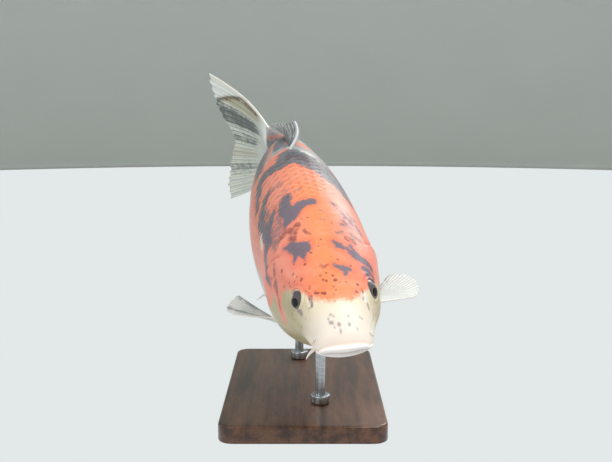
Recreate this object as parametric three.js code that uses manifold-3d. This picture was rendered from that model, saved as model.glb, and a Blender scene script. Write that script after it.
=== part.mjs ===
// A koi carp at life size on a plain display stand.
// Millimetres, +Z up. The fish faces -Y and its tail swings to -X.
// The origin is the middle of the stand's underside.
import * as THREE from "three";
import { mergeVertices } from "three/addons/utils/BufferGeometryUtils.js";
import Module from "manifold-3d";

const wasm = await Module();
wasm.setup();

// ---- driving dimensions --------------------------------------------------------------------

// Standard length, from the tip of the snout to the root of the tail fin. Body shapes below are
// fractions of it, at stations that run from 0 at the snout to 1 at the root of the tail fin.
const BODY_LENGTH = 450;

const SNOUT = new THREE.Vector3(27, -199, 104);
const NOSE_DOWN_DEG = 13.4;
const LEFT_SIDE_UP_DEG = 5;

// Heading of the backbone at each station, in degrees from straight back towards -X.
const HEADING = [[0, 4.5], [0.25, 9.8], [0.5, 7.2], [0.75, 2], [1, 28], [1.3, 62]];

// Outline of the body: [station, height above or below the axis, or half width].
const BACK = [
  [0, -0.013], [0.012, 0.004], [0.03, 0.023], [0.06, 0.042], [0.1, 0.06], [0.15, 0.082], [0.25, 0.118],
  [0.4, 0.147], [0.48, 0.15], [0.64, 0.13], [0.8, 0.09], [0.88, 0.073], [0.95, 0.067], [1, 0.068],
];
const BELLY = [
  [0, -0.0235], [0.03, -0.037], [0.06, -0.048], [0.1, -0.067], [0.15, -0.089], [0.25, -0.125],
  [0.4, -0.148], [0.5, -0.148], [0.64, -0.13], [0.8, -0.086], [0.9, -0.063], [1, -0.062],
];
const HALF_WIDTH = [
  [0, 0.0375], [0.03, 0.0455], [0.06, 0.054], [0.1, 0.066], [0.2, 0.089], [0.33, 0.098], [0.42, 0.098],
  [0.56, 0.088], [0.7, 0.067], [0.8, 0.047], [0.88, 0.033], [0.95, 0.022], [1, 0.012],
];
const WIDEST_LEVEL = [[0, -0.021], [0.1, -0.011], [0.6, 0]];
// Powers of the superellipse above and below the widest level: 2 is an ellipse, more is boxier.
const BACK_POWER = [[0, 2], [0.1, 2.35], [0.25, 2.15], [0.5, 2]];
const BELLY_POWER = [[0, 2], [0.08, 1.85], [0.16, 2.25], [0.3, 2.15], [0.5, 2]];

const SNOUT_ROUNDING = 0.009;
const SNOUT_ROUNDING_END = 0.12;

const LIP_END = 0.015;
const LIP_SWELL = 1.3;
const LIP_CORNER_DEG = 4;
const LIP_INNER_SCALE = 0.45;
const LIP_ROOT = 0.008;
const LOWER_LIP_START = 0.008;

const HEAD_END = 0.238;
const TRUNK_MIDDLE = 0.52;
const TAIL_STEM_START = 0.8;
const TAIL_STEM_END = 0.985;
const NODE_GAP = 0.3;

const BROW = { station: 0.094, degrees: 50, height: 1.2, length: 0.03, arc: 16 };
const CHEEK = { station: 0.115, degrees: -8, height: 1, length: 0.03, arc: 20 };

const GILL_COVER = {
  front: 0.142, back: 0.232, frontCurve: 0.016, backCurve: 0.03,
  topDeg: 30, bottomDeg: -62, thickness: 5, bulge: 0.9, recessHeight: 4,
};

const EYE = { station: 0.098, degrees: 29, radius: 9, bulge: 3.2, facets: 14 };

const RING_SIDES = 28;
const STATION_STEP = 0.022;
const HEAD_STATION_STEP = 0.0135;

const DORSAL_FIN = {
  start: 0.49, end: 0.85, frontRay: 0.08, rearRay: 0.05, frontFade: 0.16,
  frontRise: 30, rearRise: 26, bendDeg: 10, frontLean: 7.5, rearLean: -12, curl: 4.5,
};
const ANAL_FIN = {
  start: 0.762, end: 0.83, frontRay: 0.115, rearRay: 0.055, frontDrop: 52, rearDrop: 34, bendDeg: 12,
};
const TAIL_FIN = {
  start: 0.988, rootHalfHeight: 0.062, rootBow: 0.012, rootLevel: 0.003,
  upperRay: 0.278, lowerRay: 0.255, middleRay: 0.16, forkPower: 1.5, tipRounding: 0.22,
  spreadDeg: 24, tipSpreadDeg: 6, bendDeg: 8, middleGap: 0.004,
};
const LEFT_PECTORAL = {
  side: 1, start: 0.245, end: 0.28, topDeg: -31, bottomDeg: -54, length: 0.145, firstRay: 0.7, lastRay: 0.78,
  frontSweep: 22, backSweep: 38, frontRise: -12, backRise: 21, bendDeg: 3,
};
const RIGHT_PECTORAL = {
  ...LEFT_PECTORAL, side: -1, length: 0.14, firstRay: 0.7, lastRay: 0.95, frontSweep: 45, backSweep: 54,
  frontRise: -11, backRise: 10,
};
const LEFT_PELVIC = {
  side: 1, start: 0.5, end: 0.525, topDeg: -62, bottomDeg: -78, length: 0.135, firstRay: 0.9, lastRay: 0.55,
  frontSweep: 52, backSweep: 84, frontRise: -34, backRise: -16, bendDeg: 12,
};
const RIGHT_PELVIC = { ...LEFT_PELVIC, side: -1 };

const FIN_ROOT_THICKNESS = 3;
const FIN_EDGE_THICKNESS = 1;
// How far a ray's line reaches back into the body before it is cut off, as a part of its length.
const FIN_ROOT_INSIDE = 0.06;

// `out`, `ahead` and `down` say which way each barbel points where it leaves the face.
const CORNER_BARBEL = { station: 0.022, degrees: -12, length: 10.5, radius: 1.3 };
const CORNER_BARBEL_LEFT = { ...CORNER_BARBEL, out: 0.3, ahead: -0.8, down: 0.4 };
const CORNER_BARBEL_RIGHT = { ...CORNER_BARBEL, out: 0.9, ahead: 0.2, down: 0.35 };
const LIP_BARBEL = { station: 0.024, degrees: 30, length: 7, radius: 0.8, out: 0.8, ahead: 0.2, down: 0.5 };
const BARBEL_TIP_RADIUS = 0.45;
const BARBEL_SIDES = 8;
const BARBEL_STEPS = 6;

const STAND_BASE = { width: 130, length: 220, height: 14, cornerRadius: 12, chamfer: 2 };
const STAND_ROD_RADIUS = 4;
const STAND_ROD_SIDES = 20;
const STAND_COLLAR = { radius: 8, height: 7, chamfer: 1, sides: 24 };
const FRONT_ROD_STATION = 0.3;
const REAR_ROD_STATION = 0.6;
// Half length of the stretch of belly that a rod's top is shaped to, in stations.
const ROD_REACH = 0.06;

// ---- small helpers --------------------------------------------------------------------------

const radians = THREE.MathUtils.degToRad;
const mix = THREE.MathUtils.lerp;

// Smooth curve through [x, y] pairs: cubic pieces whose slopes weigh the two neighbouring chords.
function profile(points, at) {
  const last = points.length - 1;
  const x = THREE.MathUtils.clamp(at, points[0][0], points[last][0]);
  const span = (i) => points[i + 1][0] - points[i][0];
  const chord = (i) => (points[i + 1][1] - points[i][1]) / span(i);
  const slope = (i) => {
    if (i === 0) return chord(0);
    if (i === last) return chord(last - 1);
    return (chord(i - 1) * span(i) + chord(i) * span(i - 1)) / (span(i - 1) + span(i));
  };
  let i = 0;
  while (i < last - 1 && x >= points[i + 1][0]) i += 1;
  const h = span(i);
  const u = (x - points[i][0]) / h;
  const start = points[i][1] * (1 + 2 * u) * (1 - u) ** 2 + h * slope(i) * u * (1 - u) ** 2;
  const end = points[i + 1][1] * u * u * (3 - 2 * u) + h * slope(i + 1) * u * u * (u - 1);
  return start + end;
}

const signedPower = (value, power) => Math.sign(value) * Math.abs(value) ** power;

function swelling(form, station, degrees) {
  const along = (station - form.station) / form.length;
  const upper = degrees > 90 ? 180 - degrees : degrees;
  const around = (upper - form.degrees) / form.arc;
  return form.height * Math.exp(-along * along - around * around);
}

// ---- the body's surface ---------------------------------------------------------------------

// Point of the unbent body: degrees run from the fish's left (0) over its back (90).
function bodyPoint(station, degrees, lift = 0) {
  const angle = radians(degrees);
  const back = profile(BACK, station);
  const belly = profile(BELLY, station);
  const level = profile(WIDEST_LEVEL, station);
  const above = Math.sin(angle) >= 0;
  const power = 2 / profile(above ? BACK_POWER : BELLY_POWER, station);
  const sideways = signedPower(Math.cos(angle), power) * profile(HALF_WIDTH, station);
  const upright = signedPower(Math.sin(angle), power) * (above ? back - level : level - belly);
  const fade = Math.max(0, 1 - station / SNOUT_ROUNDING_END) ** 2;
  const rounding = SNOUT_ROUNDING * fade * Math.cos(angle) ** 2;
  const point = new THREE.Vector3(sideways, station + rounding, level + upright).multiplyScalar(BODY_LENGTH);
  const wrapped = ((degrees % 360) + 540) % 360 - 180;
  const out = lift + swelling(BROW, station, wrapped) + swelling(CHEEK, station, wrapped);
  const outward = new THREE.Vector3(Math.cos(angle), 0, Math.sin(angle));
  return point.addScaledVector(outward, out);
}

const BEND_STEPS = 270;
const BEND_END = 1.35 * BODY_LENGTH;

const backbone = (() => {
  const step = BEND_END / BEND_STEPS;
  const places = [new THREE.Vector3()];
  for (let i = 1; i <= BEND_STEPS; i += 1) {
    const heading = radians(profile(HEADING, ((i - 0.5) * step) / BODY_LENGTH));
    const move = new THREE.Vector3(-Math.sin(heading), Math.cos(heading), 0).multiplyScalar(step);
    places.push(places[i - 1].clone().add(move));
  }
  return { step, places };
})();

// Bends a point of the straight fish along the backbone, within the horizontal plane.
function bend(point) {
  const reach = point.y / backbone.step;
  const i = THREE.MathUtils.clamp(Math.floor(reach), 0, BEND_STEPS - 1);
  const heading = radians(profile(HEADING, point.y / BODY_LENGTH));
  const place = backbone.places[i].clone().lerp(backbone.places[i + 1], reach - i);
  place.x += point.x * Math.cos(heading);
  place.y += point.x * Math.sin(heading);
  place.z += point.z;
  return place;
}

// ---- closed solids from grids of points -----------------------------------------------------

function solidGeometry(points, faces) {
  const geometry = new THREE.BufferGeometry();
  geometry.setAttribute("position", new THREE.Float32BufferAttribute(points.flatMap((p) => p.toArray()), 3));
  geometry.setIndex(faces.flat());
  return mergeVertices(geometry, 1e-4);
}

// Rings of points joined in turn and closed by a fan at each end.
function loft(rings) {
  const sides = rings[0].length;
  const points = rings.flat();
  const faces = [];
  for (let r = 0; r < rings.length - 1; r += 1) {
    for (let s = 0; s < sides; s += 1) {
      const a = r * sides + s;
      const b = r * sides + ((s + 1) % sides);
      faces.push([a, b, b + sides], [a, b + sides, a + sides]);
    }
  }
  const middle = (ring) => ring.reduce((sum, p) => sum.add(p), new THREE.Vector3()).divideScalar(sides);
  const first = points.push(middle(rings[0])) - 1;
  const last = points.push(middle(rings[rings.length - 1])) - 1;
  const lastRing = (rings.length - 1) * sides;
  for (let s = 0; s < sides; s += 1) {
    const next = (s + 1) % sides;
    faces.push([first, next, s], [last, lastRing + s, lastRing + next]);
  }
  return solidGeometry(points, faces);
}

// Two grids of points, outer(u, v) and inner(u, v), joined along their four borders.
function shell(outer, inner, across, along) {
  const row = along + 1;
  const layer = (across + 1) * row;
  const points = [];
  for (const side of [outer, inner]) {
    for (let i = 0; i <= across; i += 1) {
      for (let j = 0; j <= along; j += 1) points.push(side(i / across, j / along));
    }
  }
  const faces = [];
  const quad = (a, b, c, d) => faces.push([a, b, c], [a, c, d]);
  const at = (i, j) => i * row + j;
  for (let i = 0; i < across; i += 1) {
    for (let j = 0; j < along; j += 1) {
      quad(at(i, j), at(i + 1, j), at(i + 1, j + 1), at(i, j + 1));
      quad(layer + at(i, j), layer + at(i, j + 1), layer + at(i + 1, j + 1), layer + at(i + 1, j));
    }
    quad(at(i, 0), layer + at(i, 0), layer + at(i + 1, 0), at(i + 1, 0));
    quad(at(i, along), at(i + 1, along), layer + at(i + 1, along), layer + at(i, along));
  }
  for (let j = 0; j < along; j += 1) {
    quad(at(0, j), at(0, j + 1), layer + at(0, j + 1), layer + at(0, j));
    quad(at(across, j), layer + at(across, j), layer + at(across, j + 1), at(across, j + 1));
  }
  return solidGeometry(points, faces);
}

function bent(geometry) {
  const position = geometry.getAttribute("position");
  const point = new THREE.Vector3();
  for (let i = 0; i < position.count; i += 1) {
    const moved = bend(point.fromBufferAttribute(position, i));
    position.setXYZ(i, moved.x, moved.y, moved.z);
  }
  return geometry;
}

// ---- joining and cutting --------------------------------------------------------------------

function toSolid(geometry) {
  const bare = geometry.index ? geometry : geometry.clone();
  bare.deleteAttribute("normal");
  bare.deleteAttribute("uv");
  const merged = mergeVertices(bare, 1e-4);
  const mesh = new wasm.Mesh({
    numProp: 3,
    vertProperties: new Float32Array(merged.getAttribute("position").array),
    triVerts: new Uint32Array(merged.index.array),
  });
  const solid = new wasm.Manifold(mesh);
  if (solid.volume() < 0) throw new Error("a solid is inside out");
  return solid;
}

function toGeometry(solid) {
  const mesh = solid.getMesh();
  const geometry = new THREE.BufferGeometry();
  geometry.setAttribute("position", new THREE.Float32BufferAttribute(mesh.vertProperties, 3));
  geometry.setIndex(new THREE.Uint32BufferAttribute(mesh.triVerts, 1));
  return geometry;
}

function cut(geometry, tools) {
  let solid = toSolid(geometry);
  for (const tool of tools) solid = solid.subtract(toSolid(tool));
  return toGeometry(solid);
}

// ---- head, trunk and tail stem --------------------------------------------------------------

function bodyLength(from, to, lift = 0, step = STATION_STEP) {
  const count = Math.max(2, Math.round((to - from) / step));
  const rings = [];
  for (let r = 0; r <= count; r += 1) {
    const ring = [];
    for (let s = 0; s < RING_SIDES; s += 1) {
      ring.push(bodyPoint(mix(from, to, r / count), (360 * s) / RING_SIDES, lift));
    }
    rings.push(ring);
  }
  return bent(loft(rings.reverse()));
}

const GAP_STATIONS = NODE_GAP / BODY_LENGTH;

// A plate that follows the flank; grow widens it on every side for the recess that holds it.
function gillCover(side, grow) {
  const cover = GILL_COVER;
  const growStation = grow / BODY_LENGTH;
  const growDegrees = grow;
  const place = (u, v, lift) => {
    const degrees = mix(cover.bottomDeg - growDegrees, cover.topDeg + growDegrees, u);
    const curve = (2 * u - 1) ** 2;
    const front = cover.front + cover.frontCurve * curve - growStation;
    const back = cover.back - cover.backCurve * curve + growStation;
    const around = side > 0 ? degrees : 180 - degrees;
    return bodyPoint(mix(front, back, v), around, lift);
  };
  const bulge = (u, v) => cover.bulge * Math.sin(Math.PI * u) * Math.sin((Math.PI * (v + 0.3)) / 1.6);
  const outer = (u, v) => place(u, v, grow > 0 ? cover.recessHeight : bulge(u, v));
  const inner = (u, v) => place(u, v, -cover.thickness - grow);
  const geometry = side > 0 ? shell(inner, outer, 8, 5) : shell(outer, inner, 8, 5);
  return bent(geometry);
}

function eyeCentre(side) {
  const degrees = side > 0 ? EYE.degrees : 180 - EYE.degrees;
  const surface = bodyPoint(EYE.station, degrees);
  const ahead = bodyPoint(EYE.station + 0.01, degrees).sub(surface);
  const round = bodyPoint(EYE.station, degrees + 5).sub(surface);
  const outward = round.cross(ahead).normalize();
  if (outward.x * side < 0) outward.negate();
  return bend(surface.addScaledVector(outward, EYE.bulge - EYE.radius));
}

function eyeball(side, grow = 0) {
  const ball = new THREE.SphereGeometry(EYE.radius + grow, EYE.facets, EYE.facets / 2 + 2);
  const centre = eyeCentre(side);
  return ball.translate(centre.x, centre.y, centre.z);
}

function head() {
  const whole = bodyLength(LIP_END + GAP_STATIONS, HEAD_END, 0, HEAD_STATION_STEP);
  const recesses = [1, -1].flatMap((side) => [gillCover(side, NODE_GAP), eyeball(side, NODE_GAP)]);
  return cut(whole, recesses);
}

// Half a ring round the mouth, swollen in the middle of its width and cut off where the head starts.
function lip(fromDeg, toDeg, start) {
  const place = (u, v, scale) => {
    const station = mix(start, LIP_END + LIP_ROOT, v);
    const reach = Math.min(1, (station - start) / (LIP_END - start));
    const point = bodyPoint(station, mix(fromDeg, toDeg, u), LIP_SWELL * Math.sin(Math.PI * reach));
    const level = profile(WIDEST_LEVEL, station) * BODY_LENGTH;
    point.x *= scale;
    point.z = level + (point.z - level) * scale;
    return point;
  };
  const outer = (u, v) => place(u, v, 1);
  const inner = (u, v) => place(u, v, LIP_INNER_SCALE);
  const headStart = bodyLength(LIP_END, 4 * LIP_END, NODE_GAP, HEAD_STATION_STEP);
  return cut(bent(shell(inner, outer, 14, 4)), [headStart]);
}

// ---- barbels --------------------------------------------------------------------------------

function barbel(form, side) {
  const degrees = side > 0 ? form.degrees : 180 - form.degrees;
  const root = bodyPoint(form.station, degrees, -1);
  const outward = new THREE.Vector3(form.out * side, -form.ahead, -form.down).normalize();
  const down = new THREE.Vector3(0, 0.35, -1).normalize();
  const path = new THREE.QuadraticBezierCurve3(
    root,
    root.clone().addScaledVector(outward, form.length * 0.55),
    root.clone().addScaledVector(outward, form.length * 0.8).addScaledVector(down, form.length * 0.45),
  );
  const frames = path.computeFrenetFrames(BARBEL_STEPS);
  const rings = [];
  for (let r = 0; r <= BARBEL_STEPS; r += 1) {
    const along = r / BARBEL_STEPS;
    const radius = mix(form.radius, BARBEL_TIP_RADIUS, along);
    const ring = [];
    for (let s = 0; s < BARBEL_SIDES; s += 1) {
      const angle = (2 * Math.PI * s) / BARBEL_SIDES;
      const point = path.getPoint(along);
      point.addScaledVector(frames.normals[r], radius * Math.cos(angle));
      point.addScaledVector(frames.binormals[r], radius * Math.sin(angle));
      ring.push(point);
    }
    rings.push(ring);
  }
  const headFront = bodyLength(LIP_END, 4 * LIP_END, NODE_GAP, HEAD_STATION_STEP);
  return cut(bent(loft(rings)), [headFront]);
}

// ---- fins -----------------------------------------------------------------------------------

const LEAST_TURN = 0.01;

// A ray that leaves its root along `out` and bends steadily towards `towards`.
function rayPoint(root, out, towards, length, turn, along) {
  const forward = Math.sin(turn * along) / turn;
  const aside = (1 - Math.cos(turn * along)) / turn;
  return root.clone().addScaledVector(out, length * forward).addScaledVector(towards, length * aside);
}

function dorsalPoint(u, v) {
  const fin = DORSAL_FIN;
  const rise = radians(mix(fin.frontRise, fin.rearRise, u));
  const out = new THREE.Vector3(0, Math.cos(rise), Math.sin(rise));
  const towards = new THREE.Vector3(0, Math.sin(rise), -Math.cos(rise));
  const length = BODY_LENGTH * (fin.rearRay + (fin.frontRay - fin.rearRay) * Math.exp(-u / fin.frontFade));
  const root = bodyPoint(mix(fin.start, fin.end, u), 90);
  const point = rayPoint(root, out, towards, length, radians(fin.bendDeg), v);
  point.x += v * mix(fin.frontLean, fin.rearLean, Math.sin((Math.PI / 2) * Math.min(1, 2 * u)));
  point.x += fin.curl * Math.sin(Math.PI * Math.max(v, 0)) * Math.exp(-u / fin.frontFade);
  return point;
}

function analPoint(u, v) {
  const fin = ANAL_FIN;
  const drop = radians(mix(fin.frontDrop, fin.rearDrop, u));
  const out = new THREE.Vector3(0, Math.cos(drop), -Math.sin(drop));
  const towards = new THREE.Vector3(0, Math.sin(drop), Math.cos(drop));
  const length = BODY_LENGTH * mix(fin.frontRay, fin.rearRay, u ** 0.8);
  const root = bodyPoint(mix(fin.start, fin.end, u), 270);
  return rayPoint(root, out, towards, length, radians(fin.bendDeg), v);
}

// s runs from 1 at the upper edge of the tail fin to -1 at the lower edge.
function tailPoint(s, v) {
  const fin = TAIL_FIN;
  const rootHeight = fin.rootHalfHeight * s + fin.rootLevel;
  const root = new THREE.Vector3(0, fin.start + fin.rootBow * (1 - s * s), rootHeight);
  root.multiplyScalar(BODY_LENGTH);
  const angle = radians(fin.spreadDeg * s + fin.tipSpreadDeg * s ** 3);
  const out = new THREE.Vector3(0, Math.cos(angle), Math.sin(angle));
  const towards = new THREE.Vector3(0, Math.sin(angle), -Math.cos(angle)).multiplyScalar(Math.sign(s));
  const m = Math.abs(s);
  const longest = s > 0 ? fin.upperRay : fin.lowerRay;
  const reach = m ** fin.forkPower * (1 - fin.tipRounding * m ** 6);
  const length = BODY_LENGTH * (fin.middleRay + (longest - fin.middleRay) * reach);
  return rayPoint(root, out, towards, length, radians(fin.bendDeg) * Math.max(m, LEAST_TURN), v);
}

function pairedPoint(fin, u, v) {
  const root = bodyPoint(mix(fin.start, fin.end, u), mix(fin.topDeg, fin.bottomDeg, u));
  const sweep = radians(mix(fin.frontSweep, fin.backSweep, u));
  const rise = radians(mix(fin.frontRise, fin.backRise, u));
  const level = new THREE.Vector3(Math.cos(sweep), Math.sin(sweep), 0);
  const out = level.multiplyScalar(Math.cos(rise)).setZ(Math.sin(rise));
  const towards = new THREE.Vector3(-Math.sin(sweep), Math.cos(sweep), 0);
  const shorter = (1 - (1 - fin.firstRay) * (1 - u) ** 3) * (1 - (1 - fin.lastRay) * u ** 2.2);
  const point = rayPoint(root, out, towards, BODY_LENGTH * fin.length * shorter, radians(fin.bendDeg), v);
  point.x *= fin.side;
  return point;
}

// Thickens a fin's middle surface; its root starts inside the body and is then cut off there.
function finSolid(middle, across, along, rootInside = true) {
  const start = rootInside ? -FIN_ROOT_INSIDE : 0;
  const at = (u, v) => middle(u, mix(start, 1, v));
  const normal = (u, v) => {
    const step = 0.01;
    const alongRay = at(u, Math.min(1, v + step)).sub(at(u, Math.max(0, v - step)));
    const acrossRays = at(Math.min(1, u + step), v).sub(at(Math.max(0, u - step), v));
    return acrossRays.cross(alongRay).normalize();
  };
  const half = (v) => mix(FIN_ROOT_THICKNESS, FIN_EDGE_THICKNESS, Math.min(1, 3 * v)) / 2;
  const outer = (u, v) => at(u, v).addScaledVector(normal(u, v), half(v));
  const inner = (u, v) => at(u, v).addScaledVector(normal(u, v), -half(v));
  return bent(shell(outer, inner, across, along));
}

function finOnBody(middle, across, along, from, to) {
  return cut(finSolid(middle, across, along), [bodyLength(from, to, NODE_GAP)]);
}

function pairedFin(fin, across, along) {
  const middle = (u, v) => pairedPoint(fin, u, v);
  return finOnBody(middle, across, along, fin.start - 0.05, fin.start + 0.2);
}

function tailLobe(sign) {
  const first = sign > 0 ? 1 : -TAIL_FIN.middleGap;
  const last = sign > 0 ? TAIL_FIN.middleGap : -1;
  return finSolid((u, v) => tailPoint(mix(first, last, u), v), 7, 7, false);
}

// ---- stand ----------------------------------------------------------------------------------

function roundedRectangle(width, length, radius) {
  const x = width / 2;
  const y = length / 2;
  const outline = new THREE.Shape();
  outline.moveTo(-x + radius, -y);
  outline.lineTo(x - radius, -y);
  outline.absarc(x - radius, -y + radius, radius, -Math.PI / 2, 0);
  outline.lineTo(x, y - radius);
  outline.absarc(x - radius, y - radius, radius, 0, Math.PI / 2);
  outline.lineTo(-x + radius, y);
  outline.absarc(-x + radius, y - radius, radius, Math.PI / 2, Math.PI);
  outline.lineTo(-x, -y + radius);
  outline.absarc(-x + radius, -y + radius, radius, Math.PI, 1.5 * Math.PI);
  return outline;
}

function standBase() {
  const form = STAND_BASE;
  const inset = 2 * form.chamfer;
  const outline = roundedRectangle(form.width - inset, form.length - inset, form.cornerRadius - form.chamfer);
  const plate = new THREE.ExtrudeGeometry(outline, {
    depth: form.height - inset,
    bevelThickness: form.chamfer,
    bevelSize: form.chamfer,
    bevelSegments: 1,
    curveSegments: 5,
  });
  return plate.translate(0, 0, form.chamfer);
}

function rod(station, fish) {
  const belly = bend(bodyPoint(station, 270)).applyMatrix4(fish.matrix);
  const bottom = STAND_BASE.height + NODE_GAP;
  const height = belly.z + 2 * STAND_ROD_RADIUS - bottom;
  const post = new THREE.CylinderGeometry(STAND_ROD_RADIUS, STAND_ROD_RADIUS, height, STAND_ROD_SIDES);
  post.rotateX(Math.PI / 2).translate(belly.x, belly.y, bottom + height / 2);
  const nearby = bodyLength(station - ROD_REACH, station + ROD_REACH, NODE_GAP).applyMatrix4(fish.matrix);
  return { geometry: cut(post, [nearby]), x: belly.x, y: belly.y };
}

function collar(place) {
  const inner = STAND_ROD_RADIUS + NODE_GAP;
  const bottom = STAND_BASE.height + NODE_GAP;
  const top = bottom + STAND_COLLAR.height;
  const outline = [
    [inner, bottom], [STAND_COLLAR.radius, bottom], [STAND_COLLAR.radius, top - STAND_COLLAR.chamfer],
    [STAND_COLLAR.radius - STAND_COLLAR.chamfer, top], [inner, top], [inner, bottom],
  ];
  const ring = new THREE.LatheGeometry(outline.map(([x, y]) => new THREE.Vector2(x, y)), STAND_COLLAR.sides);
  return ring.rotateX(Math.PI / 2).translate(place.x, place.y, 0);
}

// ---- the model ------------------------------------------------------------------------------

const finish = (color, roughness, metalness = 0) => ({ color, roughness, metalness });
const ORANGE = finish("#e8693c", 0.4);
const CREAM = finish("#e9dfc4", 0.4);
const PALE = finish("#f2efe6", 0.35);
const GREY = finish("#8f9391", 0.35);
const EYE_DARK = finish("#1b1a1c", 0.08);
const WALNUT = finish("#4a3122", 0.45);
const STEEL = finish("#b9bcc0", 0.3, 1);

function piece(name, geometry, look) {
  geometry.deleteAttribute("normal");
  geometry.deleteAttribute("uv");
  const mesh = new THREE.Mesh(geometry, new THREE.MeshStandardMaterial(look));
  mesh.name = name;
  return mesh;
}

function buildFish() {
  const fish = new THREE.Group();
  fish.position.copy(SNOUT);
  fish.rotation.set(radians(NOSE_DOWN_DEG), -radians(LEFT_SIDE_UP_DEG), 0);
  fish.updateMatrix();
  fish.add(
    piece("head", head(), CREAM),
    piece("upper_lip", lip(LIP_CORNER_DEG, 180 - LIP_CORNER_DEG, 0), PALE),
    piece("lower_lip", lip(180 + LIP_CORNER_DEG, 360 - LIP_CORNER_DEG, LOWER_LIP_START), PALE),
    piece("trunk_front", bodyLength(HEAD_END + GAP_STATIONS, TRUNK_MIDDLE), ORANGE),
    piece("trunk_rear", bodyLength(TRUNK_MIDDLE + GAP_STATIONS, TAIL_STEM_START), ORANGE),
    piece("tail_stem", bodyLength(TAIL_STEM_START + GAP_STATIONS, TAIL_STEM_END), GREY),
    piece("tail_fin_upper", tailLobe(1), PALE),
    piece("tail_fin_lower", tailLobe(-1), GREY),
    piece("dorsal_fin", finOnBody(dorsalPoint, 14, 3, 0.44, 0.92), GREY),
    piece("anal_fin", finOnBody(analPoint, 6, 5, 0.72, 0.9), PALE),
    piece("pectoral_fin_left", pairedFin(LEFT_PECTORAL, 8, 5), PALE),
    piece("pectoral_fin_right", pairedFin(RIGHT_PECTORAL, 8, 5), PALE),
    piece("pelvic_fin_left", pairedFin(LEFT_PELVIC, 6, 5), PALE),
    piece("pelvic_fin_right", pairedFin(RIGHT_PELVIC, 6, 5), PALE),
  );
  for (const [name, side, corner] of [["left", 1, CORNER_BARBEL_LEFT], ["right", -1, CORNER_BARBEL_RIGHT]]) {
    fish.add(
      piece(`gill_cover_${name}`, gillCover(side, 0), CREAM),
      piece(`eye_${name}`, eyeball(side), EYE_DARK),
      piece(`barbel_corner_${name}`, barbel(corner, side), PALE),
      piece(`barbel_lip_${name}`, barbel(LIP_BARBEL, side), PALE),
    );
  }
  return fish;
}

const koi = new THREE.Group();
const fish = buildFish();
koi.add(fish);
koi.add(piece("stand_base", standBase(), WALNUT));
for (const [name, station] of [["front", FRONT_ROD_STATION], ["rear", REAR_ROD_STATION]]) {
  const post = rod(station, fish);
  koi.add(piece(`stand_rod_${name}`, post.geometry, STEEL));
  koi.add(piece(`stand_collar_${name}`, collar(post), STEEL));
}

export default koi;
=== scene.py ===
"""A koi carp at life size on a display stand: skin, scales, fins, eyes, barbels, stand and studio.

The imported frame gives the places. Body shapes are worked out in millimetres, in the fish's own straight
frame (x to its left, y towards its tail, z up), then bent along the backbone and posed.
"""

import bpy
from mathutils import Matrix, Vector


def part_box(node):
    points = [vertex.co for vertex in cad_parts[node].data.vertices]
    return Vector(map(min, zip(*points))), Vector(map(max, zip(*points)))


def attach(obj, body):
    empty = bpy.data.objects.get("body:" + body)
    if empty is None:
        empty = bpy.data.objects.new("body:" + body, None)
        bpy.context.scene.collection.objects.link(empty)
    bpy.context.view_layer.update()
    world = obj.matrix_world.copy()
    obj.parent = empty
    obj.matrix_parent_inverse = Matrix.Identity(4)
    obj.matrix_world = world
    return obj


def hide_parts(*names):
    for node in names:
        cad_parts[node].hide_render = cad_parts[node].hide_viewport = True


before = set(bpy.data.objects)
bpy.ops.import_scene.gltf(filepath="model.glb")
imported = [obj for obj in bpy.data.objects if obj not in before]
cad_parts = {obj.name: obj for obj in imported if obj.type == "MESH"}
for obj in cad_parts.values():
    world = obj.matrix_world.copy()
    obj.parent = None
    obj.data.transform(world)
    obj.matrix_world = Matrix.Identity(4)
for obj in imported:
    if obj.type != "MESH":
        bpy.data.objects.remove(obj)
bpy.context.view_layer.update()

import math
from functools import partial

import bpy
import numpy as np
from bpy.props import FloatProperty, FloatVectorProperty, PointerProperty
from mathutils import Matrix

bl_info = {
    "name": "Koi Carp Display Model",
    "version": (1, 0, 0),
    "blender": (4, 5, 0),
    "location": "View3D > Sidebar > Koi Carp",
    "description": "Builds the skin, scales, fins, eyes and display stand of a life-size koi carp",
    "category": "Object",
}

MM = 0.001

# ---- the body's form, as the frame's solids have it ----------------------------------------------

BODY_LENGTH = 450.0
SNOUT = (27.0, -199.0, 104.0)
NOSE_DOWN_DEG = 13.4
LEFT_SIDE_UP_DEG = 5.0

# Heading of the backbone at each station, in degrees from straight back towards -X.
HEADING = [(0, 4.5), (0.25, 9.8), (0.5, 7.2), (0.75, 2), (1, 28), (1.3, 62)]
BEND_STEPS = 270
BEND_END = 1.35 * BODY_LENGTH

# Outline of the body: (station, height above or below the axis, or half width), in body lengths.
BACK = [
    (0, -0.013), (0.012, 0.004), (0.03, 0.023), (0.06, 0.042), (0.1, 0.06), (0.15, 0.082), (0.25, 0.118),
    (0.4, 0.147), (0.48, 0.15), (0.64, 0.13), (0.8, 0.09), (0.88, 0.073), (0.95, 0.067), (1, 0.068),
]
BELLY = [
    (0, -0.0235), (0.03, -0.037), (0.06, -0.048), (0.1, -0.067), (0.15, -0.089), (0.25, -0.125),
    (0.4, -0.148), (0.5, -0.148), (0.64, -0.13), (0.8, -0.086), (0.9, -0.063), (1, -0.062),
]
HALF_WIDTH = [
    (0, 0.0375), (0.03, 0.0455), (0.06, 0.054), (0.1, 0.066), (0.2, 0.089), (0.33, 0.098), (0.42, 0.098),
    (0.56, 0.088), (0.7, 0.067), (0.8, 0.047), (0.88, 0.033), (0.95, 0.022), (1, 0.012),
]
WIDEST_LEVEL = [(0, -0.021), (0.1, -0.011), (0.6, 0)]
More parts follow.
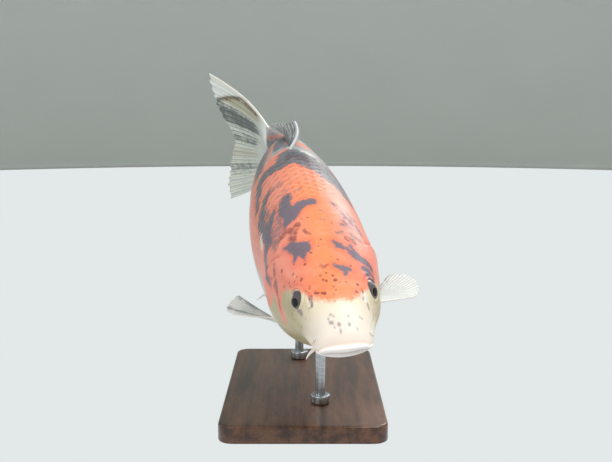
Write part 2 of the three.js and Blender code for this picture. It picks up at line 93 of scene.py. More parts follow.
# Powers of the superellipse above and below the widest level: 2 is an ellipse, more is boxier.
BACK_POWER = [(0, 2), (0.1, 2.35), (0.25, 2.15), (0.5, 2)]
BELLY_POWER = [(0, 2), (0.08, 1.85), (0.16, 2.25), (0.3, 2.15), (0.5, 2)]
SNOUT_ROUNDING = 0.009
SNOUT_ROUNDING_END = 0.12
BROW = dict(station=0.094, degrees=50, height=1.2, length=0.03, arc=16)
CHEEK = dict(station=0.115, degrees=-8, height=1.0, length=0.03, arc=20)
GILL_COVER = dict(front=0.142, back=0.232, front_curve=0.016, back_curve=0.03, top=30, bottom=-62)
EYE = dict(station=0.098, degrees=29, bulge=2.6, flatness=0.78, forward=0.42, down=0.1)
LIP_END = 0.015
LOWER_LIP_START = 0.008


def profile(points, at):
    """Smooth curve through (x, y) pairs: cubic pieces whose slopes weigh the two neighbouring chords."""
    xs, ys = np.array(points, float).T
    at = np.clip(at, xs[0], xs[-1])
    spans = np.diff(xs)
    chords = np.diff(ys) / spans
    slopes = np.empty(len(xs))
    slopes[0], slopes[-1] = chords[0], chords[-1]
    slopes[1:-1] = (chords[:-1] * spans[1:] + chords[1:] * spans[:-1]) / (spans[:-1] + spans[1:])
    i = np.clip(np.searchsorted(xs, at, side="right") - 1, 0, len(spans) - 1)
    h = spans[i]
    u = (at - xs[i]) / h
    start = ys[i] * (1 + 2 * u) * (1 - u) ** 2 + h * slopes[i] * u * (1 - u) ** 2
    end = ys[i + 1] * u * u * (3 - 2 * u) + h * slopes[i + 1] * u * u * (u - 1)
    return start + end


def smooth(value, low, high):
    """0 below low, 1 above high, and an S curve between them; low may be the larger."""
    t = np.clip((value - low) / (high - low), 0, 1)
    return t * t * (3 - 2 * t)


def lerp(a, b, t):
    """The value so far of the way from a to b."""
    return a + (b - a) * t


def unit(vectors):
    """The same directions at length 1."""
    return vectors / np.linalg.norm(vectors, axis=-1, keepdims=True)


def hump(value, middle, width):
    """A bell curve: 1 in the middle, and about a third of it a width away."""
    return np.exp(-((value - middle) / width) ** 2)


def on_left(degrees):
    """The degrees of the same place on the left side of the fish."""
    return np.where(degrees > 90, 180 - degrees, degrees)


def swelling(form, station, degrees):
    """Millimetres by which a soft form, such as the brow, stands out on both sides of the head."""
    across = hump(on_left(degrees), form["degrees"], form["arc"])
    return form["height"] * hump(station, form["station"], form["length"]) * across


def body_point(station, degrees, lift=0.0):
    """Points of the straight fish: degrees run from its left (0) over its back (90)."""
    station, degrees, lift = np.broadcast_arrays(station, degrees, lift)
    angle = np.radians(degrees)
    cos, sin = np.cos(angle), np.sin(angle)
    level = profile(WIDEST_LEVEL, station)
    above = sin >= 0
    power = 2 / np.where(above, profile(BACK_POWER, station), profile(BELLY_POWER, station))
    height = np.where(above, profile(BACK, station) - level, level - profile(BELLY, station))
    x = np.sign(cos) * np.abs(cos) ** power * profile(HALF_WIDTH, station)
    z = level + np.sign(sin) * np.abs(sin) ** power * height
    fade = np.clip(1 - station / SNOUT_ROUNDING_END, 0, None) ** 2
    y = station + SNOUT_ROUNDING * fade * cos * cos
    wrapped = (degrees + 180) % 360 - 180
    out = lift + swelling(BROW, station, wrapped) + swelling(CHEEK, station, wrapped)
    point = np.stack([x, y, z], -1) * BODY_LENGTH
    return point + np.stack([cos, np.zeros_like(cos), sin], -1) * out[..., None]


def backbone():
    """The step along the backbone, and its places seen from above, in millimetres from the snout."""
    step = BEND_END / BEND_STEPS
    middles = (np.arange(BEND_STEPS) + 0.5) * step / BODY_LENGTH
    heading = np.radians(profile(HEADING, middles))
    moves = np.stack([-np.sin(heading), np.cos(heading)], -1) * step
    return step, np.vstack([[0, 0], np.cumsum(moves, axis=0)])


BONE_STEP, BONE_PLACES = backbone()
NOSE_DOWN = Matrix.Rotation(math.radians(NOSE_DOWN_DEG), 3, "X")
LEFT_SIDE_UP = Matrix.Rotation(-math.radians(LEFT_SIDE_UP_DEG), 3, "Y")
POSE = np.array(NOSE_DOWN @ LEFT_SIDE_UP)


def posed(points):
    """Bends straight-fish points along the backbone, tilts and places them, and gives metres."""
    points = np.asarray(points, float)
    reach = points[..., 1] / BONE_STEP
    i = np.clip(np.floor(reach).astype(int), 0, BEND_STEPS - 1)
    part = (reach - i)[..., None]
    place = BONE_PLACES[i] * (1 - part) + BONE_PLACES[i + 1] * part
    heading = np.radians(profile(HEADING, points[..., 1] / BODY_LENGTH))
    x = place[..., 0] + points[..., 0] * np.cos(heading)
    y = place[..., 1] + points[..., 0] * np.sin(heading)
    bent = np.stack([x, y, points[..., 2]], -1)
    return (bent @ POSE.T + np.array(SNOUT)) * MM


# ---- the skin's own map: millimetres along the body and round it from the middle of the back -----

MAP_STATIONS = np.linspace(0, 1.002, 252)
MAP_TURNS = np.linspace(0, 180, 181)


def girth_table():
    """Arc length from the middle of the back to each turn, at each station."""
    ring = body_point(MAP_STATIONS[:, None], 90 - MAP_TURNS[None, :])
    steps = np.linalg.norm(np.diff(ring, axis=1), axis=-1)
    return np.concatenate([np.zeros((len(MAP_STATIONS), 1)), np.cumsum(steps, axis=1)], axis=1)


GIRTH = girth_table()


def girth_rows(station):
    """The girth table's row for each station."""
    place = np.clip(station / MAP_STATIONS[1], 0, len(MAP_STATIONS) - 1.001)
    i = place.astype(int)
    part = (place - i)[:, None]
    return GIRTH[i] * (1 - part) + GIRTH[i + 1] * part


def half_girth(station):
    """Millimetres round one side of the body, from the middle of the back to that of the belly."""
    return np.interp(station, MAP_STATIONS, GIRTH[:, -1])


def round_from_turn(station, turn):
    """Millimetres round the body from the middle of the back for a turn in degrees; the left is plus."""
    rows = girth_rows(station)
    place = np.clip(np.abs(turn), 0, 179.999)
    i = place.astype(int)
    pick = np.arange(len(rows))
    length = rows[pick, i] * (1 - (place - i)) + rows[pick, i + 1] * (place - i)
    return np.sign(turn) * length


def turn_from_round(station, length):
    """The turn in degrees that lies so many millimetres round the body."""
    rows = girth_rows(station)
    wanted = np.abs(length)
    i = np.clip((rows < wanted[:, None]).sum(axis=1) - 1, 0, 179)
    pick = np.arange(len(rows))
    low, high = rows[pick, i], rows[pick, i + 1]
    return np.sign(length) * (i + np.clip((wanted - low) / (high - low), 0, 1.5))


# ---- markings: strokes of (millimetres along, millimetres round, half width) ---------------------

# Black marks (sumi) that lie over the orange.
SUMI = [
    # the saddle ahead of the dorsal fin and its two arms
    [
        (204, 0, 15), (190, 9, 15), (180, 17, 14), (170, 23, 13), (160, 29, 11), (152, 34, 8), (144, 38, 5),
        (137, 41, 2),
    ],
    [(194, 22, 12), (182, 35, 12), (171, 43, 9), (160, 50, 5)],
    [
        (204, 0, 15), (190, -9, 10), (190, -18, 8), (195, -27, 8), (196, -35, 8), (188, -41, 7),
        (177, -46, 5), (166, -52, 3),
    ],
    # the long flank stripe on the right side, with a shorter one above it
    [
        (163, -30, 1.5), (158, -38, 4.5), (152, -44, 6), (145, -50, 7), (136, -51, 6.5), (123, -48, 5.5),
        (114, -49, 5.5),
    ],
    [(114, -49, 5.5), (112, -56, 5), (104, -60, 4.4), (97, -62, 3.4), (88, -62, 1.6)],
    [(133, -31, 3), (127, -38, 4), (119, -43, 3.5), (108, -43, 2)],
    # the slanting bar on the nape, with the patch that joins it
    [(119, 0, 3.8), (119, -6, 4.5), (117, -11, 6), (113, -17, 7), (109, -21, 6), (105, -24, 2.5)],
    [(133, -18, 4.5), (129, -21, 6.5), (124, -22, 6.5), (118, -19, 6)],
    # the blotch behind the brow and its drops
    [(86, -30, 1.8), (81, -24, 4.2), (76, -19, 6), (74, -15, 5.5)],
    [(77, -14, 2.6), (77, -10, 1.4)],
    [(71, -23, 2.4), (69, -24, 1.4)],
    [(69, -17, 2.6), (64, -16, 1.6)],
    # marks on the left of the nape and behind the left eye
    [(74, 6, 1.6), (70, 9, 2.9), (67, 12, 1.8)],
    [(67, 14, 1.6), (64, 19, 4.4), (62, 25, 3.6), (63, 31, 3), (62, 36, 2)],
    [(71, 19, 1.4), (67, 20, 2.2)],
    [(52, 3, 1.8), (50, 7, 2.6), (49, 12, 1.6)],
    [(48, 9, 2.0), (45, 9, 1.0)],
    [(54, 24, 2), (56, 30, 2.6), (56, 35, 2.2)],
    [(51, 27, 2.4), (46, 28, 2.6), (41, 27, 1.6)],
    [(51, 34, 2)],
    # flanks and tail stem, away from the back
    [(168, 60, 4), (182, 67, 8), (200, 72, 7), (209, 62, 4)],
    [(248, 34, 5), (256, 48, 10), (266, 62, 11), (258, 78, 6)], [(268, 50, 7), (284, 46, 4)],
    [(316, 20, 7), (330, 34, 10), (342, 46, 7)], [(328, 44, 6), (318, 58, 4)],
    [(236, -58, 5), (256, -68, 9), (276, -72, 8), (292, -62, 4)], [(262, -56, 6)],
    [(318, -14, 6), (336, -30, 10), (346, -44, 6)], [(334, -20, 6), (322, -34, 5)],
    [(384, 7, 6), (402, 16, 7), (424, 12, 4)],
    [(396, -9, 5), (416, -20, 7), (438, -16, 4)],
    [(236, -12, 4), (262, -8, 5), (300, -4, 4), (330, -4, 4)],
    [(222, -36, 6), (240, -32, 8), (262, -30, 7), (290, -25, 5)],
]
# Marks that are still coming up from under the skin: thinner, grey and brown-purple.
YOUNG_SUMI = [
    [(121, -24, 4), (118, -30, 7), (110, -33, 7), (103, -32, 4)],
    [(160, -39, 3), (146, -41, 5), (128, -41, 7), (112, -37, 8), (98, -38, 5)],
    [(112, -23, 3.5), (104, -26, 4)],
    [(157, -17, 1.5), (158, -24, 2.5), (158, -30, 3)], [(143, -13, 1.2), (142, -20, 1.6)],
    [(121, 14, 3), (116, 17, 4), (112, 19, 4)], [(106, 22, 5), (101, 25, 6), (94, 22, 5.4), (91, 18, 4)],
    [(99, 31, 4), (93, 32, 4)], [(112, 27, 4), (107, 30, 4)], [(84, 24, 4), (82, 30, 3)],
    [(82, 11, 2), (84, 15, 2.2)],
    [(140, -3, 1.0), (138, -6, 1.5)], [(108, 3, 0.9), (105, 6, 1.2), (106, 9, 1)],
    [(97, 1, 0.6), (96, 5, 0.8)],
    [(176, -6, 1.2), (171, -10, 1)],
    [(150, 46, 4), (128, 54, 5), (108, 56, 3)],
    [(206, 30, 8), (222, 28, 8), (240, 26, 9), (262, 22, 8)],
    [(222, -38, 10), (244, -30, 12), (280, -26, 12), (310, -20, 10)],
    [(236, -6, 8), (262, -2, 9), (290, 2, 8)],
    [(375, -4, 10), (410, -4, 12), (440, -4, 10)],
    [(300, 66, 8), (340, 60, 7), (372, 46, 6)],
    [(300, -70, 8), (340, -60, 7), (372, -46, 6)],
]
# Red-brown marks where black and orange meet.
RUSSET = [
    [(120, 15, 1.6), (116, 17, 1.8)], [(106, 21, 1.6), (102, 24, 2.6), (98, 27, 2.2)],
    [(95, 21, 2.4), (93, 17, 1.6)], [(99, 31, 1.6), (95, 33, 1.8)], [(112, 28, 1.4), (108, 30, 1.6)],
    [(97, -16, 3.4), (95, -20, 4.6), (90, -21, 4.4), (86, -21, 2.2)],
    [(97, -23, 3), (98, -28, 2.6), (97, -34, 2)],
    [(90, -12, 0.9), (86, -10, 1.3), (84, -8, 1.0)], [(54, -6, 1.4), (52, -4, 1.5), (54, -1, 0.8)],
    [(78, 18, 2.6), (76, 23, 2.2)], [(80, -56, 2.6), (76, -50, 2.8)],
    [(84, -46, 3), (76, -52, 3.6), (72, -58, 3.2), (69, -66, 2)], [(100, -62, 3), (88, -58, 2.5)],
]
# Separate freckles on the forehead and nape.
FRECKLES = [
    [(67, -11, 1.0)], [(60, -17, 1.1)], [(71, -5, 0.8)], [(77, -2, 0.8)], [(60, 2, 0.8)], [(57, 6, 0.7)],
    [(47, -4, 0.8)], [(44, 0, 1.1)], [(42, -7, 0.9)], [(40.5, -5, 1.1)], [(40, 1, 1.5)], [(46, -8, 0.8)],
    [(50, -22, 1.3)], [(60, -28, 1.1)], [(55, -25, 0.8)], [(54, -28, 0.9)], [(59, -34, 0.9)],
    [(37, 16, 1.2)], [(31, 14, 1.3)], [(73, -38, 1.4)], [(64, -42, 1.0)], [(56, -34, 0.9)],
    [(41, -17, 0.8)], [(39, -20, 0.7)], [(34, -14, 1.0), (33, -12, 0.9)],
    [(32, -9.5, 1.1), (31, -7.5, 0.9)], [(32, 0, 0.7)], [(101, -7, 0.8)], [(52, 14, 0.8)],
    [(85, -54, 1.2)], [(38, 8, 0.7)],
]
# Small blue-grey marks on the snout, which the skin has, and painted shade: the bars beside the nostrils and
# the marks under the eyes, where the nostril pits and sockets lie in shade.
SNOUT_SPOTS_AND_PIT_SHADE = [
    [(15.5, -7.5, 0.5), (16, -6, 0.6), (14.5, -4.5, 0.5)], [(14, -8.5, 0.6)],
    [(12, -7.5, 1.0), (11.5, -6, 0.9)],
    [(10, -2, 1.2)], [(9, -5, 0.6)], [(7.2, -1.5, 0.7), (6.4, -1.5, 0.6)], [(14, 5, 0.7)], [(9.5, 5, 0.9)],
    [(14.5, 13, 0.5), (14, 15, 0.6)], [(7.5, 10, 0.7)],
    [(33, -17, 0.8), (30, -18, 1.0), (27, -18, 0.9), (28, -21, 0.8)], [(33, -13.5, 0.7), (33, -11, 0.6)],
    [(37, -34, 1.0), (33, -31, 2.0)], [(27, -28, 0.7)], [(31, -39, 1.0)], [(34, -46, 1.2)], [(31, -51, 1.1)],
    [(26.5, 23, 1.5), (25, 24, 1.2)], [(29, 31, 0.9), (24, 31, 0.9)],
]
# White breaks in the pattern.
WHITE_BREAKS = [
    [(226, 2, 3.5)],
    [(213, 9, 2.4), (206, 16, 2.8), (200, 23, 2.2), (194, 30, 1.6)],
    [(137, -55, 3), (129, -57, 3.6), (124, -58, 2.4)],
    [(30, 21, 3.2)],
    [(285, 34, 12), (290, 60, 18)],
    [(296, -44, 12), (300, -66, 16)],
]
# The orange cap ends on the head along this line: (millimetres round, millimetres along).
CAP_FRONT = [
    (-62, 80), (-50, 66), (-44, 62), (-35, 56), (-28, 47), (-22, 40), (-18, 33), (-13, 30), (-6, 25), (4, 25),
    (9, 24), (16, 30), (21, 35), (27, 42), (34, 50), (44, 60), (62, 80),
]
# How far the orange reaches down each flank: (millimetres along, millimetres round).
CAP_REACH = [
    (60, 46), (76, 52), (86, 72), (98, 86), (118, 90), (134, 82), (152, 96), (172, 90), (186, 96), (205, 74),
    (232, 40), (262, 26), (300, 20),
]
# Where the orange ends behind: (millimetres round, millimetres along).
CAP_BACK = [
    (-95, 186), (-75, 198), (-55, 214), (-32, 214), (-12, 204), (0, 204), (28, 200), (46, 214), (64, 208),
    (80, 194), (95, 184),
]
# Streaks and patches of orange away from the cap.
OTHER_ORANGE = [
    # down the cheek behind each eye
    [(84, -44, 10), (77, -50, 10), (72, -57, 8.5), (69, -64, 7), (68, -71, 4)],
    [(84, 46, 9), (77, 52, 8), (72, 59, 7), (70, 66, 4)],
    # behind the saddle
    [(217, -3, 5), (216, -9, 6), (212, -15, 7), (214, -21, 7), (215, -28, 5)],
    [(252, 6, 10), (244, 13, 9), (236, 18, 6)], [(232, -22, 3), (252, -16, 3), (276, -14, 4)],
    [(318, 6, 20), (345, -4, 24), (368, 4, 14)], [(330, 26, 8), (352, 22, 6)],
    [(224, -52, 8), (244, -48, 7)], [(385, -2, 5), (410, -7, 4.5), (438, -14, 3.5)],
]
FAR_OUTSIDE = 40.0


def inside_strokes(strokes, along, around):
    """Millimetres inside the nearest stroke; negative outside."""
    best = np.full(np.shape(along), -FAR_OUTSIDE)
    for stroke in strokes:
        ends = stroke[1:] if len(stroke) > 1 else stroke
        for (s0, l0, r0), (s1, l1, r1) in zip(stroke, ends):
            ds, dl = s1 - s0, l1 - l0
            length = ds * ds + dl * dl
            t = np.clip(((along - s0) * ds + (around - l0) * dl) / length, 0, 1) if length else 0.0
            gap = np.hypot(along - s0 - t * ds, around - l0 - t * dl)
            best = np.maximum(best, r0 + (r1 - r0) * t - gap)
    return best


def orange_depth(along, around):
    """Millimetres inside the orange; negative outside."""
    rounds, fronts = np.array(CAP_FRONT, float).T
    front = along - np.interp(around, rounds, fronts)
    reach = profile(CAP_REACH, along) - np.abs(around)
    rounds, ends = np.array(CAP_BACK, float).T
    back = np.interp(around, rounds, ends) - along
    cap = np.minimum(np.minimum(front, reach), back)
    return np.maximum(cap, inside_strokes(OTHER_ORANGE, along, around))


def markings(along, around):
    """All that the colours need, by millimetres along and round the body."""
    return {
        "sumi": inside_strokes(SUMI, along, around),
        "young_sumi": inside_strokes(YOUNG_SUMI, along, around),
        "russet": inside_strokes(RUSSET, along, around),
        "freckles": inside_strokes(FRECKLES, along, around),
        "spots_and_pit_shade": inside_strokes(SNOUT_SPOTS_AND_PIT_SHADE, along, around),
        "breaks": inside_strokes(WHITE_BREAKS, along, around),
        "orange": np.clip(orange_depth(along, around), -FAR_OUTSIDE, FAR_OUTSIDE),
        "along": along,
        "around": np.abs(around),
    }


# ---- small helpers for Blender -------------------------------------------------------------------


def linear(code):
    """sRGB hex to the linear colour that shaders take."""
    parts = [int(code[i:i + 2], 16) / 255 for i in (1, 3, 5)]
    return tuple(p / 12.92 if p <= 0.04045 else ((p + 0.055) / 1.055) ** 2.4 for p in parts) + (1.0,)


def deselect():
    """Leaves edit mode with nothing selected."""
    if bpy.context.object and bpy.context.object.mode != "OBJECT":
        bpy.ops.object.mode_set(mode="OBJECT")
    bpy.ops.object.select_all(action="DESELECT")


def choose(obj):
    """Selects one object alone and makes it the active one."""
    deselect()
    obj.select_set(True)
    bpy.context.view_layer.objects.active = obj


def named(name):
    """Names the object that was just added, and its data."""
    obj = bpy.context.object
    obj.name = name
    obj.data.name = name
    return obj


def points_of(obj):
    """Where the vertices of a mesh are."""
    values = np.empty(len(obj.data.vertices) * 3)
    obj.data.vertices.foreach_get("co", values)
    return values.reshape(-1, 3)


def set_points(obj, points):
    """Moves the vertices of a mesh."""
    obj.data.vertices.foreach_set("co", np.ascontiguousarray(points, dtype=np.float32).ravel())
    obj.data.update()


def grid(name, columns, rows):
    """A flat primitive grid, with each vertex's column and row number."""
    deselect()
    bpy.ops.mesh.primitive_grid_add(x_subdivisions=columns, y_subdivisions=rows, size=1)
    obj = named(name)
    flat = points_of(obj)
    return obj, np.rint((flat[:, 0] + 0.5) * columns), np.rint((flat[:, 1] + 0.5) * rows)


def set_attributes(obj, values):
    """Gives each vertex its number under each name, for the materials to read."""
    for name, data in values.items():
        layer = obj.data.attributes.new(name, "FLOAT", "POINT")
        layer.data.foreach_set("value", np.ascontiguousarray(data, dtype=np.float32).ravel())


def set_uv(obj, per_vertex, name):
    """Gives each corner the map place of its vertex, in a map of this name."""
    while obj.data.uv_layers:
        obj.data.uv_layers.remove(obj.data.uv_layers[0])
    layer = obj.data.uv_layers.new(name=name)
    corners = np.empty(len(obj.data.loops), dtype=np.int32)
    obj.data.loops.foreach_get("vertex_index", corners)
    layer.data.foreach_set("uv", np.ascontiguousarray(per_vertex[corners], dtype=np.float32).ravel())


def close_up(obj, distance=1e-6):
    """Joins doubled vertices and points every face outwards."""
    choose(obj)
    bpy.ops.object.mode_set(mode="EDIT")
    bpy.ops.mesh.select_all(action="SELECT")
    bpy.ops.mesh.remove_doubles(threshold=distance)
    bpy.ops.mesh.normals_make_consistent(inside=False)
    bpy.ops.object.mode_set(mode="OBJECT")


def thicken(obj, thickness, offset, group=None, least=0.0):
    """Gives a surface walls, which a vertex group can thin down to the least share."""
    choose(obj)
    wall = obj.modifiers.new("Wall", "SOLIDIFY")
    wall.thickness = thickness
    wall.offset = offset
    if group:
        wall.vertex_group = group
        wall.thickness_vertex_group = least
    bpy.ops.object.modifier_apply(modifier=wall.name)


def finish_piece(obj, material, slot, *nodes):
    """Smooths a piece, gives it its material and puts it in the frame."""
    choose(obj)
    bpy.ops.object.shade_smooth()
    obj.data.materials.clear()
    obj.data.materials.append(material)
    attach(obj, "root")
    if nodes:
        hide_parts(*nodes)
    return obj


# ---- materials -----------------------------------------------------------------------------------

# Each sort of node: its type, its own settings, the sockets that its inputs fill in turn, and its output.
NODE_SORTS = {
    "place": ("ShaderNodeTexCoord", {}, (), "Object"),
    "attribute": ("ShaderNodeAttribute", {}, (), "Fac"),
    "mapping": ("ShaderNodeMapping", {}, ("Vector", "Scale", "Rotation"), "Vector"),
    "noise": ("ShaderNodeTexNoise", {}, ("Vector", "Scale", "Detail", "Roughness"), "Fac"),
    "streaks": ("ShaderNodeTexNoise", {"noise_dimensions": "1D"}, ("W", "Scale", "Detail"), "Fac"),
    "cells": ("ShaderNodeTexVoronoi", {"feature": "F1"}, ("Vector", "Scale"), "Distance"),
    "separate": ("ShaderNodeSeparateColor", {}, ("Color",), "Red"),
    # A smooth step of the first input between the next two, which runs between the last two.
    "ramp": (
        "ShaderNodeMapRange", {"interpolation_type": "SMOOTHSTEP"},
        ("Value", "From Min", "From Max", "To Min", "To Max"), "Result",
    ),
    # Mix nodes have a socket of each name for every data type, so the colour ones go by number.
    "blend": ("ShaderNodeMix", {"data_type": "RGBA"}, (0, 6, 7), 2),
    "bump": ("ShaderNodeBump", {}, ("Height", "Distance", "Strength"), "Normal"),
    "shader": ("ShaderNodeBsdfPrincipled", {}, (), "BSDF"),
    "surface": ("ShaderNodeOutputMaterial", {}, ("Surface",), None),
}
for sum_kind in ("ADD", "SUBTRACT", "MULTIPLY", "MULTIPLY_ADD", "MAXIMUM", "ABSOLUTE"):
    NODE_SORTS[sum_kind.lower()] = ("ShaderNodeMath", {"operation": sum_kind}, (0, 1, 2), 0)


def add_node(tree, sort, *inputs, named_inputs=None, **settings):
    """Adds a node of a sort and gives its output. An input is a value, a hex colour or a socket to link."""
    kind, own_settings, sockets, output = NODE_SORTS[sort]
    node = tree.nodes.new(kind)
    for name, value in {**own_settings, **settings}.items():
        setattr(node, name, value)
    for socket, given in [*zip(sockets, inputs), *(named_inputs or {}).items()]:
        if isinstance(given, bpy.types.NodeSocket):
            tree.links.new(given, node.inputs[socket])
        else:
            node.inputs[socket].default_value = linear(given) if isinstance(given, str) else given
    return node.outputs[output] if output is not None else node


def new_material(name):
    """A new material, and the function that adds a node to it."""
    material = bpy.data.materials.new(name)
    material.use_nodes = True
    material.node_tree.nodes.clear()
    return material, partial(add_node, material.node_tree)


def grain(size_mm):
    """The scale of a texture whose features are so many millimetres across."""
    return 1 / (size_mm * MM)


def ragged_depth(add, name, ragged, part):
    """Millimetres inside a marking, with part of the raggedness given to its edge."""
    return add("multiply_add", ragged, part, add("attribute", attribute_name=name))


# Colours painted only on the naked skin of the head, some of them painted shade: the mark that holds each,
# its strength and its tint.
HEAD_TINTS = (
    # The first tint is painted shade in the gill slit, the nostrils and round the eyes.
    ("hollow_shade", 0.8, "#6b5a63"), ("lips", 0.85, "#f9f4f2"), ("gill_edge", 0.4, "#d8cfc4"),
    # The crease tint is painted shade above the upper lip; the mouth tint is the lining's dusky pink,
    # deepened by painted shade.
    ("crease", 0.2, "#d9b09a"), ("mouth", 0.9, "#8c5a5c"),
)


def skin_material(name, scales, colours):
    """Living fish skin: pigment under a clear wet film, so colour is soft and the gloss lies on top; some of
    the colour is painted shade and painted sheen.
    """
    material, add = new_material(name)
    place = add("place")
    fine = add("noise", place, grain(2.2), 3, 0.6)
    middle = add("noise", place, grain(9), 3, 0.55)
    broad = add("noise", place, grain(34), 2)
    along = add("attribute", attribute_name="along")
    around = add("attribute", attribute_name="around")
    # Millimetres by which the edges of markings wander, in and out alike.
    small_ragged = add("multiply_add", fine, 3.0, -1.5)
    ragged = add("add", add("multiply_add", fine, 8.0, -4.0), add("multiply_add", middle, 10.0, -5.0))

    # Face: cream, whiter on the snout, olive low on the cheeks and darker there with painted shade. Body:
    # white with a grey-pink cast.
    cheek = add("blend", add("ramp", around, 18, 50), colours.face_cream, "#b5a77f")
    cheek = add("blend", add("ramp", middle, 0.42, 0.7, 0.0, 0.3), cheek, "#d9c8a8")
    snout = add("blend", add("ramp", along, 8, 34), colours.snout_white, cheek)
    body = add("blend", add("ramp", broad, 0.35, 0.65), colours.body_white, "#cabdb8")
    near_back = add("multiply", add("ramp", along, 196, 226), add("ramp", around, 74, 40, 0.0, 0.85))
    body = add("blend", near_back, body, "#9d9fa3")
    body = add("blend", add("ramp", along, 428, 449, 0.0, 0.7), body, "#cdc8c6")
    ground = add("blend", add("ramp", along, 84, 122), snout, body)

    # Orange: yellower along the top of the back, pinker down the flanks, redder beside the black.
    black_edge = ragged_depth(add, "sumi", ragged, 0.62)
    orange_tone = add("add", around, add("multiply_add", broad, 30.0, -15.0))
    orange = add("blend", add("ramp", orange_tone, 2, 34), colours.orange, colours.flank_orange)
    orange = add("blend", add("ramp", middle, 0.45, 0.7, 0.0, 0.5), orange, "#f8a484")
    # Paler pink on the temples, shoulders and upper flanks: partly the skin's own tint, partly painted sheen
    # of the wet film.
    pinker = add("multiply", add("ramp", along, 30, 90), add("ramp", around, 0, 24, 0.0, 0.75))
    pinker = add("multiply", pinker, add("ramp", around, 62, 40, 0.6, 1.0))
    pinker = add("maximum", pinker, add("ramp", along, 110, 170, 0.0, 0.4))
    orange = add("blend", pinker, orange, "#f49c88")
    orange = add("blend", add("ramp", black_edge, -5, -1, 0.0, 0.3), orange, "#e6583f")
    orange_edge = ragged_depth(add, "orange", ragged, 0.9)
    colour = add("blend", add("ramp", orange_edge, -3.5, 2.5), ground, orange)

    # Marks still rising under the orange, then the black itself, blue-grey where it lies deep.
    streaked = add("ramp", add("noise", place, grain(4), 3, 0.6), 0.32, 0.6, 0.3, 1.0)
    young = add("ramp", ragged_depth(add, "young_sumi", ragged, 0.8), -1.5, 3.0, 0.0, 0.78)
    young = add("multiply", young, add("ramp", along, 446, 424))
    colour = add("blend", add("multiply", young, streaked), colour, "#6f6971")
    russet = add("ramp", ragged_depth(add, "russet", ragged, 0.55), -1.2, 1.8, 0.0, 0.8)
    colour = add("blend", add("multiply", russet, streaked), colour, "#7e423f")
    black = add("blend", add("ramp", along, 104, 160), "#6f6876", colours.black)
    black = add("blend", add("ramp", black_edge, 5, 12, 0.0, 0.85), black, colours.deep_black)
    black = add("blend", add("ramp", fine, 0.45, 0.75, 0.0, 0.4), black, "#837e88")
    colour = add("blend", add("ramp", black_edge, -1.1, 1.3, 0.0, 0.96), colour, black)
    white_edge = ragged_depth(add, "breaks", ragged, 0.8)
    colour = add("blend", add("ramp", white_edge, -1.0, 1.5, 0.0, 0.85), colour, "#eae0d6")
    # Blue-grey snout marks, and painted shade at the nostrils and under the eyes.
    spots_and_pit_shade = ragged_depth(add, "spots_and_pit_shade", small_ragged, 0.7)
    spot_and_shade_colour = add("blend", add("ramp", middle, 0.45, 0.6), "#76707c", "#86627f")
    colour = add("blend", add("ramp", spots_and_pit_shade, -0.7, 0.8, 0.0, 0.62), colour, spot_and_shade_colour)
    dots = ragged_depth(add, "freckles", small_ragged, 0.6)
    colour = add("blend", add("ramp", dots, -0.5, 0.5, 0.0, 0.78), colour, "#84403a")

    # Finer freckles over the head and nape.
    from_cell_middle = add("cells", place, grain(5.2))
    chance = add("separate", from_cell_middle.node.outputs["Color"])
    dot_size = add("ramp", chance, 0.4, 1.0, 0.0, 0.2)
    dot = add("ramp", add("subtract", dot_size, from_cell_middle), -0.05, 0.04, 0.0, 0.5)
    on_orange = add("multiply", add("ramp", orange_edge, 0.5, 2.5), add("ramp", along, 124, 98))
    colour = add("blend", add("multiply", dot, on_orange), colour, "#8c463e")

    if scales:
        # Each scale is darker where the scale in front overlaps it: painted shade, with some of the real
        # darker net between scales.
        reach = add("attribute", attribute_name="rim")
        root = add("multiply", add("ramp", reach, 0.3, -0.25), add("ramp", around, 10, 50, 0.28, 0.5))
        colour = add("blend", root, colour, "#9a8688", blend_type="MULTIPLY")
        # Its free rim is paler: partly the scale's own pale edge, partly a painted highlight.
        rim = add("multiply", add("ramp", reach, 0.62, 0.95), add("ramp", around, 12, 40, 0.06, 0.28))
        colour = add("blend", rim, colour, "#f6d3c0")
        pore = add("attribute", attribute_name="pore")
        colour = add("blend", add("ramp", pore, 0.4, 0.8, 0.0, 0.6), colour, "#43302f")
    else:
        for name, strength, tint in HEAD_TINTS:
            mask = add("attribute", attribute_name=name)
            colour = add("blend", add("ramp", mask, 0.2, 0.9, 0.0, strength), colour, tint)

    add("surface", add("shader", named_inputs={
        "Base Color": colour, "Roughness": 0.42, "IOR": 1.4, "Subsurface Weight": 0.1,
        "Subsurface Scale": 0.002, "Coat Weight": 0.22, "Coat Roughness": 0.24, "Coat IOR": 1.34,
        "Normal": add("bump", add("noise", place, grain(0.9), 2, 0.6), 0.12 * MM, 0.5),
    }))
    return material


# ---- skin ----------------------------------------------------------------------------------------

SKIN_COLUMNS = 256
HEAD_ROWS = 172
TRUNK_ROWS = 150
HEAD_END = 0.245
TAIL_ROUND_START = 0.972
TAIL_END = 1.002
FIRST_HEAD_ROW = 0.0014
# The skin lies so far below the scales, behind the nape.
SCALE_DEPTH = 0.6
SCALES_FADE_IN = (104, 111)
# The mouth's inner rows, from its closed depth out to the lips: (station, part of the ring's size).
MOUTH_ROWS = [
    (0.021, 0.0), (0.02, 0.1), (0.017, 0.18), (0.013, 0.25), (0.009, 0.31), (0.0055, 0.37), (0.003, 0.43),
    (0.0012, 0.5), (0, 0.57), (0, 0.64), (0, 0.71), (0, 0.78), (0, 0.85), (0, 0.92), (0, 0.97),
]
LIP_FORWARD = 1.5
LIP_ROLL = 0.9
LIP_CREASE = dict(at=0.5, width=1.1, swell_at=4, swell_width=2.2, depth=0.4)
UPPER_LIP_HEIGHT = 1.5
LOWER_LIP_HEIGHT = 3.4
